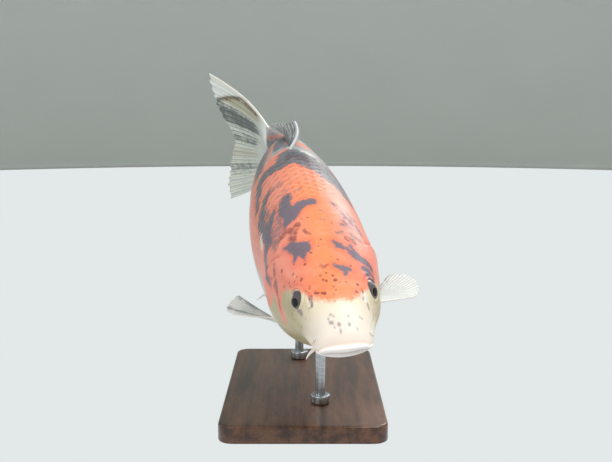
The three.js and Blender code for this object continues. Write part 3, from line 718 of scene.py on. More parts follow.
# The OFBake map: the body's length and girth laid flat.
MAP_START = 0.01
MAP_SPAN = 0.96
MAP_GIRTH = 372.0


def bake_map(part, around):
    """Place on the OFBake map for a part of the way along the body and millimetres round it."""
    return np.stack([MAP_START + MAP_SPAN * part, 0.5 + around / MAP_GIRTH], -1)


def eye_seat(side):
    """The eye's place on the straight fish: the surface point and the way out of the head."""
    degrees = EYE["degrees"] if side > 0 else 180 - EYE["degrees"]
    surface = body_point(EYE["station"], degrees)
    ahead = body_point(EYE["station"] + 0.01, degrees) - surface
    around = body_point(EYE["station"], degrees + 5) - surface
    out = unit(np.cross(around, ahead))
    return surface, out if out[0] * side > 0 else -out


def gill_edge(degrees):
    """Millimetres along the body to the gill cover's free edge."""
    u = (degrees - GILL_COVER["bottom"]) / (GILL_COVER["top"] - GILL_COVER["bottom"])
    return (GILL_COVER["back"] - GILL_COVER["back_curve"] * (2 * u - 1) ** 2) * BODY_LENGTH


# Lines on the head, as strokes: grooves of the cheek and jaw, and the rays of the gill cover.
CHEEK_GROOVES = [
    [(55, 36, 0), (50, 42, 0), (42, 44, 0), (34, 41, 0), (27, 34, 0)],
    [(60, 34, 0), (65, 44, 0), (67, 56, 0), (62, 68, 0), (50, 76, 0), (36, 76, 0)],
    [(9, 22, 0), (15, 27, 0), (22, 30, 0)],
    [(12, 40, 0), (26, 50, 0), (42, 58, 0)],
]
THROAT_GROOVES = [
    [(8, 41, 0), (20, 52, 0), (40, 66, 0), (62, 84, 0), (82, 100, 0)],
    [(66, 76, 0), (84, 88, 0), (98, 92, 0)],
    [(60, 82, 0), (78, 94, 0), (92, 100, 0)],
]
# Each set of grooves with its depth and half width.
GROOVES = ((CHEEK_GROOVES, 0.45, 1.3), (THROAT_GROOVES, 0.6, 1.2))
# The free edge of the gill cover, the slit behind it, and the ribs that fan out over the cover.
COVER_EDGE = dict(height=1.5, length=16, slit_depth=2.0, slit_at=1.1, slit_width=1.1)
COVER_RIBS = dict(front=0.154, fade=8, fan_back=10, fan_round=34, count=22, height=0.13)
NOSTRIL = dict(along=31.0, around=19.0, rim_radius=3.4, rim_width=1.2, rim_height=0.35)
# Forms of a nostril: (millimetres behind its middle, further round, half length, half width, height).
NOSTRIL_HOLES = ((-2.6, 0, 1.0, 1.1, -1.1), (2.2, 0.6, 1.9, 0.9, -1.4))
NOSTRIL_FLAP = (-0.5, 0, 1.0, 1.8, 0.9)
# The fold where the skull ends and the scales begin: (millimetres along, half width, depth).
NAPE_FOLD = (106.5, 1.6, 0.3)


def head_relief(along, around, degrees):
    """Lift of the head's skin above the plain form, in millimetres, with masks for its colours and its
    painted shade.
    """
    side = np.abs(around)
    left_degrees = on_left(degrees)
    lift = np.zeros_like(along)

    # The free edge of the gill cover and the slit behind it.
    edge = COVER_EDGE
    behind = along - gill_edge(left_degrees)
    on_side = smooth(left_degrees, 44, 30) * smooth(left_degrees, -92, -80)
    rise = edge["height"] * np.exp(np.minimum(behind, 0) / edge["length"]) * smooth(behind, 0.3, -1.3)
    lift += on_side * np.where(behind < 0, rise, 0)
    lift -= on_side * edge["slit_depth"] * hump(behind, edge["slit_at"], edge["slit_width"])
    pale_edge = on_side * hump(behind, -1.6, 1.8) * smooth(left_degrees, 12, -16)
    # Painted shade in the slit behind the gill cover.
    hollow_shade = on_side * hump(behind, 1.0, 1.0)

    # Grooves between the bones of the cheek and gill cover, and along the lower jaw.
    for grooves, depth, width in GROOVES:
        lift -= depth * hump(np.minimum(inside_strokes(grooves, along, side), 0), 0, width)
    ribs = COVER_RIBS
    front = ribs["front"] * BODY_LENGTH
    cover = on_side * smooth(along, front, front + ribs["fade"]) * smooth(behind, 0, -6)
    fan = np.arctan2(side - ribs["fan_round"], along - front + ribs["fan_back"])
    lift += ribs["height"] * cover * np.sin(ribs["count"] * fan)

    # Nostrils: two openings a side, with a flap of skin standing between them and a low rim round both.
    ahead = along - NOSTRIL["along"]
    aside = side - NOSTRIL["around"]
    for form in (*NOSTRIL_HOLES, NOSTRIL_FLAP):
        back, out, length, width, height = form
        shape = hump(ahead, back, length) * hump(aside, out, width)
        lift += height * shape
        # The openings also hold painted shade.
        if form in NOSTRIL_HOLES:
            hollow_shade = np.maximum(hollow_shade, shape)
    from_nostril = np.hypot(0.7 * ahead, aside)
    lift += NOSTRIL["rim_height"] * hump(from_nostril, NOSTRIL["rim_radius"], NOSTRIL["rim_width"])

    fold_at, fold_width, fold_depth = NAPE_FOLD
    lift -= fold_depth * hump(along, fold_at, fold_width) * smooth(left_degrees, 20, 40)
    return lift, {"hollow_shade": hollow_shade, "gill_edge": pale_edge}


# Flesh round the roots of the paired fins: (station, degrees, half length, half arc, height).
FIN_ROOTS = ((0.262, -50, 0.026, 13, 1.6), (0.512, -70, 0.022, 9, 1.2))


def fin_roots(station, degrees):
    """Millimetres by which the flesh swells round the roots of the paired fins."""
    lower = on_left(degrees)
    swell = 0.0
    for middle, level, length, arc, height in FIN_ROOTS:
        swell = swell + height * hump(station, middle, length) * hump(lower, level, arc)
    return swell


# Rings round the middle of an eye: (radius, half width, height), with the socket's hole inside them.
EYE_RINGS = ((8.2, 1.25, 0.95), (11.6, 1.4, 0.35), (10.0, 0.8, -0.35))
EYE_HOLE = dict(outer=7.3, inner=6.2, depth=4.5)
EYE_SHADE = dict(radius=7.4, width=1.0)
EYE_REACH = dict(across=16, deep=12)


def seat_eyes(points):
    """Sinks the sockets and raises the fleshy rim round each eye; the mask is where painted shade goes on the
    rim.
    """
    shade = np.zeros(len(points))
    for side in (1, -1):
        seat, out = eye_seat(side)
        offset = points - seat
        height = offset @ out
        spread = np.linalg.norm(offset - height[:, None] * out, axis=1)
        near = spread < EYE_REACH["across"]
        move = -EYE_HOLE["depth"] * smooth(spread, EYE_HOLE["outer"], EYE_HOLE["inner"])
        for radius, width, rise in EYE_RINGS:
            move = move + rise * hump(spread, radius, width)
        move = np.where(near & (np.abs(height) < EYE_REACH["deep"]), move, 0)
        points = points + move[:, None] * out
        shade = np.maximum(shade, near * hump(spread, EYE_SHADE["radius"], EYE_SHADE["width"]))
    return points, shade


def stem_closing(station, end):
    """How much of its width the tail stem keeps where it rounds off over the root of the tail fin."""
    closing = np.clip((station - TAIL_ROUND_START) / (TAIL_END - TAIL_ROUND_START), 0, end)
    return np.sqrt(1 - closing ** 2)


def lip_form(station, size, degrees):
    """Rolls the lips forward round the mouth, down to a crease; the lower lip stands further back."""
    below = smooth(np.sin(np.radians(degrees)), 0.12, -0.12)
    start = LOWER_LIP_START * below
    station = station + start * (1 - smooth(station, 0, LIP_END))
    run = np.maximum(station - start, 0) * BODY_LENGTH
    edge = lerp(UPPER_LIP_HEIGHT, LOWER_LIP_HEIGHT, below)
    fullness = 0.7 + 0.3 * smooth(np.abs(np.cos(np.radians(degrees))), 1.0, 0.95)
    forward = LIP_FORWARD * np.where(size < 1, smooth(size, 0.2, 0.8), smooth(run, edge, 0.1))
    roll = LIP_ROLL * hump(run, 0.4 * edge, 0.45 * edge) * smooth(size, 0.55, 1)
    crease = hump(run, edge + LIP_CREASE["at"], LIP_CREASE["width"]) * (size == 1)
    behind = hump(run, edge + LIP_CREASE["swell_at"], LIP_CREASE["swell_width"])
    lift = fullness * (roll + LIP_CREASE["depth"] * (behind - crease))
    masks = {
        "lips": smooth(run, edge + 0.4, edge - 0.6) * smooth(size, 0.3, 0.5),
        # The crease mask carries painted shade; the mouth mask darkens the mouth's dusky lining with painted
        # shade.
        "crease": crease,
        "mouth": smooth(size, 0.45, 0.3),
    }
    return station, lift, forward * fullness, masks


def build_skin(colours):
    """One closed skin from the inside of the mouth to the tail stem: a grid rolled round the body."""
    rows = len(MOUTH_ROWS) + HEAD_ROWS + TRUNK_ROWS
    skin, column, row = grid("skin", SKIN_COLUMNS, rows - 1)
    head = np.linspace(FIRST_HEAD_ROW, HEAD_END, HEAD_ROWS)
    trunk = np.linspace(HEAD_END, TAIL_END, TRUNK_ROWS + 1)[1:]
    stations = np.concatenate([[station for station, _ in MOUTH_ROWS], head, trunk])
    sizes = np.concatenate([[size for _, size in MOUTH_ROWS], np.ones(HEAD_ROWS + TRUNK_ROWS)])
    row = row.astype(int)
    size = sizes[row]
    turn = 180 - 360 * column / SKIN_COLUMNS
    degrees = 90 - turn

    station, lip_lift, forward, lip_masks = lip_form(stations[row], size, degrees)
    on_body = np.clip(station, 0, MAP_STATIONS[-1])
    along = on_body * BODY_LENGTH
    around = round_from_turn(on_body, turn)
    lift, head_masks = head_relief(along, around, degrees)
    lift = np.where(size == 1, lift, 0) + lip_lift
    lift += fin_roots(on_body, degrees) - SCALE_DEPTH * smooth(along, *SCALES_FADE_IN)
    points = body_point(on_body, degrees, lift)
    points[:, 1] -= forward
    level = profile(WIDEST_LEVEL, on_body) * BODY_LENGTH
    points[:, 0] *= size
    points[:, 2] = level + (points[:, 2] - level) * size * (0.3 + 0.7 * smooth(size, 0.25, 0.8))
    points[:, 0] *= stem_closing(station, 1)
    points, eye_rim_shade = seat_eyes(points)
    set_points(skin, posed(points))

    set_uv(skin, bake_map((row + 1) / (rows + 1), around), "OFBake")
    values = {**markings(along, around), **head_masks, **lip_masks}
    # Painted shade round each eye's fleshy rim joins the painted shade of the hollows.
    values["hollow_shade"] = np.maximum(values["hollow_shade"], 0.25 * eye_rim_shade)
    set_attributes(skin, values)
    close_up(skin)
    return finish_piece(
        skin, skin_material("naked_koi_skin", False, colours), "skin_orange",
        "head", "upper_lip", "lower_lip", "gill_cover_left", "gill_cover_right",
        "trunk_front", "trunk_rear", "tail_stem",
    )


# ---- scales --------------------------------------------------------------------------------------

SCALE_FACES = 5
SCALES_START = 108.0
SCALES_END = 448.0
LATERAL_LINE_ROW = 9
ROWS_PER_SIDE = 26
WIDEST_ROW = 9
WIDEST_STATION = 0.42
# A scale's outline on its pitch and row width: how round it is, how long, how wide and how far back.
SCALE_OUTLINE = dict(rounding=0.42, half_length=0.6, half_width=0.86, back=0.04)
# How much scales differ in length and in tilt.
SCALE_SPREAD = 0.05
SCALE_DOME = 0.1
SCALE_SINK = 0.25
SCALE_WALL = 0.3
PORE = dict(width=0.16, height=0.22)
# Marks run over whole scales more than across them, so their edges step from scale to scale.
MARK_SHARE = 0.6
SCALE_SEED = 7
MAP_PATCH = 0.0015


def scale_template():
    """One scale as a rounded grid: how far along it and across it each vertex lies, from -1 to 1."""
    obj, column, row = grid("scale_pattern", SCALE_FACES, SCALE_FACES)
    x = 2 * column / SCALE_FACES - 1
    y = 2 * row / SCALE_FACES - 1
    faces = np.array([polygon.vertices[:] for polygon in obj.data.polygons])
    bpy.data.objects.remove(obj)
    rounding = SCALE_OUTLINE["rounding"]
    return x * np.sqrt(1 - rounding * y * y), y * np.sqrt(1 - rounding * x * x), faces


def scale_rows(settings):
    """Millimetres round the body of each row of scales at the thickest girth: finer near the back."""
    index = np.arange(ROWS_PER_SIDE)
    side = np.sin(math.pi * np.clip(index / (2 * WIDEST_ROW), 0, 1)) ** 1.2
    widths = lerp(settings.back_row / MM, settings.side_row / MM, side)
    return np.concatenate([[0], np.cumsum(widths)])


def scale_places(settings):
    """Where each scale sits: along, round, its row, and the local pitch and row width."""
    rows = scale_rows(settings)
    thickest = half_girth(WIDEST_STATION)
    places = []
    along, step = SCALES_START, 0
    while along < SCALES_END:
        girth = half_girth(along / BODY_LENGTH)
        shrink = (girth / thickest) ** 0.75 * lerp(0.78, 1.0, smooth(along, SCALES_START, 190))
        pitch = settings.scale_pitch / MM * shrink
        for row in range(step % 2, ROWS_PER_SIDE, 2):
            around = rows[row] * shrink
            if around > girth - 2.0:
                break
            width = (rows[row + 1] - rows[row]) * shrink
            for side in ((1, -1) if row else (1,)):
                places.append((along, side * around, row, pitch, width))
        along += pitch / 2
        step += 1
    return np.array(places)


def build_scales(name, places, settings, random):
    """Every scale of one side as one joined mesh, each laid on the skin with its rear rim free."""
    x, y, faces = scale_template()
    count = len(x)
    along0, around0, row, pitch, width = places.T
    grow = 1 + SCALE_SPREAD * random.standard_normal(len(places))
    tilt = SCALE_SPREAD * random.standard_normal(len(places))
    outline = SCALE_OUTLINE
    local_along = (outline["back"] + outline["half_length"] * x[None, :] * grow[:, None]) * pitch[:, None]
    local_round = outline["half_width"] * y[None, :] * width[:, None] + tilt[:, None] * local_along
    along = (along0[:, None] + local_along).ravel()
    around = (around0[:, None] + local_round).ravel()
    station = along / BODY_LENGTH
    limit = half_girth(station) - 0.2
    turn = turn_from_round(station, np.clip(around, -limit, limit))
    rise = settings.scale_rise / MM
    free = np.broadcast_to((x + 1) / 2, (len(places), count))
    dome = SCALE_DOME * (1 - x * x) * (1 - y * y)
    grown = smooth(along0, SCALES_START - 25, SCALES_START + 40)
    size = (pitch / (settings.scale_pitch / MM) * grown)[:, None]
    on_line = (row == LATERAL_LINE_ROW)[:, None]
    pore = on_line * hump(y, 0, PORE["width"]) * smooth(np.abs(x), 0.75, 0.45)
    lift = (rise * free + dome) * size - SCALE_SINK + PORE["height"] * pore - SCALE_DEPTH
    points = body_point(station, 90 - turn, lift.ravel() + fin_roots(station, 90 - turn))
    points[:, 0] *= stem_closing(station, 0.98)

    all_faces = (faces[None, :, :] + count * np.arange(len(places))[:, None, None]).reshape(-1, 4)
    mesh = bpy.data.meshes.new(name)
    mesh.from_pydata(posed(points).tolist(), [], all_faces.tolist())
    obj = bpy.data.objects.new(name, mesh)
    bpy.context.scene.collection.objects.link(obj)

    mark_along = lerp(along0[:, None], along.reshape(-1, count), MARK_SHARE).ravel()
    mark_round = lerp(around0[:, None], around.reshape(-1, count), MARK_SHARE).ravel()
    values = markings(mark_along, mark_round)
    values["rim"] = np.broadcast_to(x, (len(places), count)).ravel()
    values["pore"] = pore.ravel()
    set_attributes(obj, values)
    root_map = bake_map(along0 / (BODY_LENGTH * TAIL_END), around0)
    patch_map = root_map[:, None, :] + MAP_PATCH * np.stack([x, y], -1)[None, :, :]
    set_uv(obj, patch_map.reshape(-1, 2), "OFBake")
    close_up(obj, 1e-7)
    thicken(obj, SCALE_WALL * MM, -1.0)
    return obj


# ---- eyes ----------------------------------------------------------------------------------------

# Rings of the eye, in degrees from the way it looks.
PUPIL_EDGE = (19.5, 22.0)
GOLD_RING = dict(at=22.0, inner=0.3, outer=1.6)
SILVER_START = (29, 34)
WHITE_START = (52, 62)
CORNEA = dict(outer=46, inner=20, height=0.03)
# The iris's edge from the middle of the eye, for a ball of radius 1.
IRIS_RIM = 0.72


def eye_material(colours):
    """A wet carp eye: black pupil in a silver-gold iris, dark above, under a clear cornea."""
    material, add = new_material("wet_eye")
    angle = add("attribute", attribute_name="from_axis")
    upward = add("attribute", attribute_name="upward")
    rearward = add("attribute", attribute_name="rearward")
    streaks = add("streaks", add("attribute", attribute_name="turn"), 9.0, 4.0)
    speckle = add("noise", add("place"), grain(0.8), 3, 0.6)
    iris = add("blend", add("ramp", streaks, 0.35, 0.7), colours.iris, "#655a57")
    iris = add("blend", add("ramp", speckle, 0.5, 0.75, 0.0, 0.5), iris, "#4f4644")
    dark = add("add", upward, add("multiply_add", speckle, 0.8, -0.4))
    iris = add("blend", add("ramp", dark, -0.5, 0.1, 0.0, 0.95), iris, "#554a50")
    silver = add("multiply", add("ramp", angle, *SILVER_START), add("ramp", rearward, -0.05, 0.3))
    iris = add("blend", silver, iris, "#d6d4c9")
    from_ring = add("absolute", add("subtract", angle, GOLD_RING["at"]))
    ring = add("ramp", from_ring, GOLD_RING["inner"], GOLD_RING["outer"], 0.35, 0.0)
    iris = add("blend", ring, iris, "#b9a67c")
    colour = add("blend", add("ramp", angle, *PUPIL_EDGE), "#0a090b", iris)
    colour = add("blend", add("ramp", angle, *WHITE_START), colour, "#d3c6ba")
    add("surface", add("shader", named_inputs={
        "Base Color": colour, "Roughness": 0.5, "IOR": 1.33,
        "Coat Weight": 0.7, "Coat Roughness": 0.03, "Coat IOR": 1.2,
    }))
    return material


def build_eye(side, label, material, radius):
    """A flattened ball with a raised cornea, which looks out, a little ahead and down."""
    seat, out = eye_seat(side)
    centre = seat + out * (EYE["bulge"] - EYE["flatness"] * radius)
    gaze = unit(out + np.array([0, -EYE["forward"], -EYE["down"]]))
    across = unit(np.cross([0.0, 0.0, 1.0], gaze))
    upright = np.cross(gaze, across)
    deselect()
    bpy.ops.mesh.primitive_uv_sphere_add(segments=64, ring_count=48, radius=1.0)
    eye = named(f"eye_ball_{label}")
    ball = points_of(eye)
    angle = np.degrees(np.arccos(np.clip(ball[:, 2], -1, 1)))
    turn = np.arctan2(ball[:, 1], ball[:, 0])
    cornea = 1 + CORNEA["height"] * smooth(angle, CORNEA["outer"], CORNEA["inner"])
    points = ball * (radius * cornea)[:, None] @ np.array([across, upright, gaze])
    points += centre - (1 - EYE["flatness"]) * (points @ out)[:, None] * out
    set_points(eye, posed(points))

    # How far up, and how far back and down, each place lies on the iris.
    upward = ball[:, 1] / IRIS_RIM
    rearward = 0.8 * side * ball[:, 0] - 0.6 * ball[:, 1]
    set_attributes(eye, {"from_axis": angle, "upward": upward, "rearward": rearward, "turn": turn})
    close_up(eye)
    return finish_piece(eye, material, "eye", f"eye_{label}")


# ---- fins ----------------------------------------------------------------------------------------

DORSAL_FIN = dict(
    start=0.49, end=0.85, front_ray=0.08, rear_ray=0.05, front_fade=0.16,
    front_rise=30, rear_rise=26, bend=10, front_lean=7.5, rear_lean=-12, curl=4.5,
)
ANAL_FIN = dict(start=0.762, end=0.83, front_ray=0.115, rear_ray=0.055, front_drop=52, rear_drop=34, bend=12)
TAIL_FIN = dict(
    start=0.988, root_half_height=0.062, root_bow=0.012, root_level=0.003,
    upper_ray=0.278, lower_ray=0.255, middle_ray=0.16, fork_power=1.5, tip_rounding=0.22,
    spread=24, tip_spread=6, bend=8,
)
LEFT_PECTORAL = dict(
    side=1, start=0.245, end=0.28, top=-31, bottom=-54, length=0.145, first_ray=0.7, last_ray=0.78,
    front_sweep=22, back_sweep=38, front_rise=-12, back_rise=21, bend=3,
)
RIGHT_PECTORAL = dict(
    LEFT_PECTORAL, side=-1, length=0.14, first_ray=0.7, last_ray=0.95,
    front_sweep=45, back_sweep=54, front_rise=-11, back_rise=10,
)
LEFT_PELVIC = dict(
    side=1, start=0.5, end=0.525, top=-62, bottom=-78, length=0.135, first_ray=0.9, last_ray=0.55,
    front_sweep=52, back_sweep=84, front_rise=-34, back_rise=-16, bend=12,
)
RIGHT_PELVIC = dict(LEFT_PELVIC, side=-1)
LEAST_TURN = 0.01


def direction(*parts):
    """Vectors from their x, y and z, each a number or an array."""
    return np.stack(np.broadcast_arrays(*parts), -1)


def ray_point(root, out, towards, length, turn, v):
    """A ray that leaves its root along `out` and bends steadily towards `towards`."""
    forward = length * np.sin(turn * v) / turn
    aside = length * (1 - np.cos(turn * v)) / turn
    return root + out * forward[..., None] + towards * aside[..., None]


def dorsal_point(u, v):
    """u runs from 0 at the front of the dorsal fin to 1 at its rear, and v from its root to its rim."""
    fin = DORSAL_FIN
    rise = np.radians(lerp(fin["front_rise"], fin["rear_rise"], u))
    out = direction(0 * u, np.cos(rise), np.sin(rise))
    towards = direction(0 * u, np.sin(rise), -np.cos(rise))
    length = BODY_LENGTH * lerp(fin["rear_ray"], fin["front_ray"], np.exp(-u / fin["front_fade"]))
    root = body_point(lerp(fin["start"], fin["end"], u), 90.0)
    point = ray_point(root, out, towards, length, math.radians(fin["bend"]), v)
    to_rear = np.sin(math.pi / 2 * np.minimum(1, 2 * u))
    bow = np.sin(math.pi * np.clip(v, 0, 1)) * np.exp(-np.maximum(u, 0) / fin["front_fade"])
    point[..., 0] += v * lerp(fin["front_lean"], fin["rear_lean"], to_rear) + fin["curl"] * bow
    return point


def anal_point(u, v):
    """u runs from 0 at the front of the anal fin to 1 at its rear."""
    fin = ANAL_FIN
    drop = np.radians(lerp(fin["front_drop"], fin["rear_drop"], u))
    out = direction(0 * u, np.cos(drop), -np.sin(drop))
    towards = direction(0 * u, np.sin(drop), np.cos(drop))
    length = BODY_LENGTH * lerp(fin["front_ray"], fin["rear_ray"], np.clip(u, 0, 1) ** 0.8)
    root = body_point(lerp(fin["start"], fin["end"], u), 270.0)
    return ray_point(root, out, towards, length, math.radians(fin["bend"]), v)


def tail_point(u, v):
    """u runs from 0 at the upper edge of the tail fin to 1 at the lower edge."""
    fin = TAIL_FIN
    s = 1 - 2 * u
    root_height = fin["root_half_height"] * s + fin["root_level"]
    root = direction(0 * s, fin["start"] + fin["root_bow"] * (1 - s * s), root_height) * BODY_LENGTH
    angle = np.radians(fin["spread"] * s + fin["tip_spread"] * s ** 3)
    out = direction(0 * s, np.cos(angle), np.sin(angle))
    towards = direction(0 * s, np.sin(angle), -np.cos(angle)) * np.sign(s)[..., None]
    m = np.abs(s)
    longest = np.where(s > 0, fin["upper_ray"], fin["lower_ray"])
    reach = m ** fin["fork_power"] * (1 - fin["tip_rounding"] * m ** 6)
    length = BODY_LENGTH * (fin["middle_ray"] + (longest - fin["middle_ray"]) * reach)
    return ray_point(root, out, towards, length, math.radians(fin["bend"]) * np.maximum(m, LEAST_TURN), v)


def paired_point(fin):
    """The middle surface of a pectoral or pelvic fin, as a function of u and v."""
    def place(u, v):
        root = body_point(lerp(fin["start"], fin["end"], u), lerp(fin["top"], fin["bottom"], u))
        sweep = np.radians(lerp(fin["front_sweep"], fin["back_sweep"], u))
        rise = np.radians(lerp(fin["front_rise"], fin["back_rise"], u))
        out = direction(np.cos(sweep) * np.cos(rise), np.sin(sweep) * np.cos(rise), np.sin(rise))
        towards = direction(-np.sin(sweep), np.cos(sweep), 0 * u)
        inside = np.clip(u, 0, 1)
        first = 1 - (1 - fin["first_ray"]) * (1 - inside) ** 3
        last = 1 - (1 - fin["last_ray"]) * inside ** 2.2
        length = BODY_LENGTH * fin["length"] * first * last
        point = ray_point(root, out, towards, length, math.radians(fin["bend"]), v)
        point[..., 0] *= fin["side"]
        return point
    return place


def ray_strength(phase, v):
    """How much of a ray lies at a place: each ray but the first forks twice on its way out."""
    near = np.abs(phase - np.rint(phase))
    branched = smooth(phase, 0.6, 1.6)
    first = 0.19 * smooth(v, 0.35, 0.7) * branched
    second = 0.09 * smooth(v, 0.68, 0.95) * branched
    width = lerp(0.15, 0.07, np.clip(v, 0, 1))
    return np.maximum(hump(near, first - second, width), hump(near, first + second, width))


def plain_zone(u, v):
    """Nothing anywhere on the fin."""
    return 0 * u


FIN_ROOT = -0.09
FRAY = 0.012
THINNEST_WEB = 0.14


def build_fin(name, place, rays, form, material, nodes):
    """A fin as one membrane with branching rays: a grid laid on its middle surface, then given walls."""
    columns, rows = rays * form.get("per_ray", 8), form.get("rows", 40)
    fin, column, row = grid(name, columns, rows)
    u = column / columns
    v = lerp(FIN_ROOT, 1.0, row / rows)
    outer = np.clip(v, 0, 1)
    phase = u * rays

    # Rays reach a little past the web between them, and the rim is slightly frayed.
    random = np.random.default_rng(form["seed"])
    fray = np.interp(phase, np.arange(rays + 1), random.uniform(-FRAY, FRAY, rays + 1))
    notch = form.get("notch", 0.02) * np.sin(math.pi * phase) ** 2
    reach = np.where(v > 0, v * (1 - (notch + fray) * outer ** 4), v)
    step = 0.004
    across = place(np.clip(u + step, 0, 1), reach) - place(np.clip(u - step, 0, 1), reach)
    out = place(u, reach + step) - place(u, reach - step)
    normal = unit(np.cross(across, out))
    pleat = form.get("pleat", 0.35) * np.cos(2 * math.pi * phase) * smooth(v, 0.0, 0.3) * (1 - 0.4 * outer)
    wave = form.get("wave", 0.0) * np.sin(form.get("wave_turns", 2.0) * math.pi * u + 1.0) * outer ** 2
    aside = pleat + wave + form.get("turned", plain_zone)(u, v)
    set_points(fin, posed(place(u, reach) + normal * aside[:, None]))
    fin.data.uv_layers[0].name = "FinMap"

    # Walls: thick on the rays, thickest on the leading one, and thin on the web.
    strength = ray_strength(phase, v)
    lead = smooth(phase, form.get("lead_rays", 0.8), 0.0)
    taper = lerp(1.0, 0.35, outer ** 0.8)
    wall = np.clip(np.maximum(strength, lead) * taper + 0.5 * smooth(v, 0.12, -0.02), 0.02, 1)
    lead_wall = form.get("lead_wall", 1.0)
    if lead_wall > 1:
        wall = np.maximum(wall / lead_wall, lead * lerp(1.0, 0.55, outer))
    group = fin.vertex_groups.new(name="wall")
    for index, value in enumerate(wall.tolist()):
        group.add((index,), value, "REPLACE")
    values = {"ray": strength, "out": outer, "lead": smooth(phase, 1.0, 0.2)}
    for zone in ("stain", "pale", "olive"):
        values[zone] = form.get(zone, plain_zone)(u, v)
    set_attributes(fin, values)
    thicken(fin, form.get("thickness", 1.5) * lead_wall * MM, 0.0, "wall", THINNEST_WEB / lead_wall)
    return finish_piece(fin, material, "fin", *nodes)


def tail_fold(v):
    """The soft fold of the upper lobe, from its front edge half way out to its rear edge near the tip."""
    return 0.27 * (v - 0.42)


def tail_turned(u, v):
    """Millimetres by which the corner of the upper lobe beyond the fold is turned aside."""
    return -4.0 * np.clip((tail_fold(v) - u) / 0.14, 0, 1)


def tail_stain(u, v):
    """Where the tail fin is dark: painted shade along the fold, and pigment behind it, on the middle rays and
    on the lower lobe.
    """
    web = smooth(u, 0.12, 0.24 - 0.05 * v) * smooth(u, 0.37, 0.27) * smooth(v, 0.08, 0.4)
    # Painted shade along the fold of the upper lobe.
    fold = hump(u, tail_fold(v), 0.028) * smooth(v, 0.3, 0.5)
    edge = hump(u, 0.045, 0.03) * smooth(v, 0.16, 0.28) * smooth(v, 0.6, 0.44)
    middle = smooth(u, 0.25, 0.36) * smooth(u, 0.56, 0.44) * smooth(v, 0.1, 0.5)
    spot = hump(u, 0.46, 0.05) * smooth(v, 0.2, 0.5)
    lower = 0.6 * hump(u, 0.78, 0.07) * smooth(v, 0.1, 0.6)
    return np.maximum.reduce([0.9 * web, 0.85 * fold, 0.85 * edge, 0.5 * middle, 0.75 * spot, lower])


def tail_pale(u, v):
    """Where the tail fin is white: along its root and at the tip of the upper lobe."""
    root = smooth(v, 0.3, 0.0) * smooth(u, 0.62, 0.2)
    tip = smooth(u - tail_fold(v), 0.01, -0.03) * smooth(v, 0.4, 0.6)
    stripes = 0.5 * hump(u, 0.36, 0.025) * smooth(v, 0.2, 0.5)
    return np.maximum.reduce([root, tip, stripes])


def tail_olive(u, v):
    """Where the tail fin is olive and its dark pigment brown: the upper lobe down to the fold."""
    upper = smooth(u, 0.19, 0.1) * smooth(v, 0.12, 0.3) * smooth(u - tail_fold(v), -0.06, -0.01)
    middle = 0.6 * hump(u, 0.62, 0.06) * smooth(v, 0.1, 0.5)
    return np.maximum(upper, middle)


def dorsal_stain(u, v):
    """The dorsal fin is smoky all over, a little less towards its rim."""
    return 0.75 - 0.2 * v


def left_pectoral_stain(u, v):
    """Where the left pectoral fin is dark: along its rear edge."""
    return 0.55 * smooth(u, 0.7, 1.0)


def right_pectoral_stain(u, v):
    """Where the right pectoral fin is dark: along its rear edge and in a streak down its middle."""
    streak = 0.8 * hump(u, 0.42, 0.13) * smooth(v, 0.1, 0.4)
    return np.maximum(streak, 0.7 * smooth(u, 0.75, 1.0))


# Each fin: its middle surface, its number of rays, its finish, the nodes it replaces, and its own form.
FINS = {
    "dorsal_fin_web": (
        dorsal_point, 21, "smoky_fin_web", ["dorsal_fin"],
        dict(seed=1, rows=30, thickness=1.6, wave=0.5, lead_wall=2.2, lead_rays=0.7, stain=dorsal_stain),
    ),
    "anal_fin_web": (anal_point, 7, "pale_fin_web", ["anal_fin"], dict(seed=2, per_ray=10)),
    "tail_fin_web": (
        tail_point, 22, "smoky_tail_web", ["tail_fin_upper", "tail_fin_lower"],
        dict(
            seed=3, rows=60, thickness=1.8, wave=1.2, wave_turns=5, notch=0.03,
            stain=tail_stain, pale=tail_pale, olive=tail_olive, turned=tail_turned,
        ),
    ),
    "pectoral_fin_web_left": (
        paired_point(LEFT_PECTORAL), 16, "pale_fin_web", ["pectoral_fin_left"],
        dict(seed=4, wave=0.8, stain=left_pectoral_stain),
    ),
    "pelvic_fin_web_left": (
        paired_point(LEFT_PELVIC), 9, "pale_fin_web", ["pelvic_fin_left"], dict(seed=5, thickness=1.4),
    ),
    "pectoral_fin_web_right": (
        paired_point(RIGHT_PECTORAL), 16, "pale_fin_web", ["pectoral_fin_right"],
        dict(seed=4, wave=0.8, stain=right_pectoral_stain),
    ),
    "pelvic_fin_web_right": (
        paired_point(RIGHT_PELVIC), 9, "pale_fin_web", ["pelvic_fin_right"], dict(seed=5, thickness=1.4),
    ),
}
# The rays, root, dark pigment and leading ray of each finish; its web is a setting.
FIN_FINISHES = {
    "pale_fin_web": dict(ray="#f4f2ea", root="#efe8da", stain="#7f878d", lead="#f3efe4"),
    "smoky_fin_web": dict(ray="#e2dfd6", root="#8f8c90", stain="#4b5058", lead="#cfd3d4"),
    # Its stain colour also paints the shade along the tail's fold.
    "smoky_tail_web": dict(ray="#e4e2d2", root="#b9bcb8", stain="#4f5a5a", lead="#f3efe4"),
}


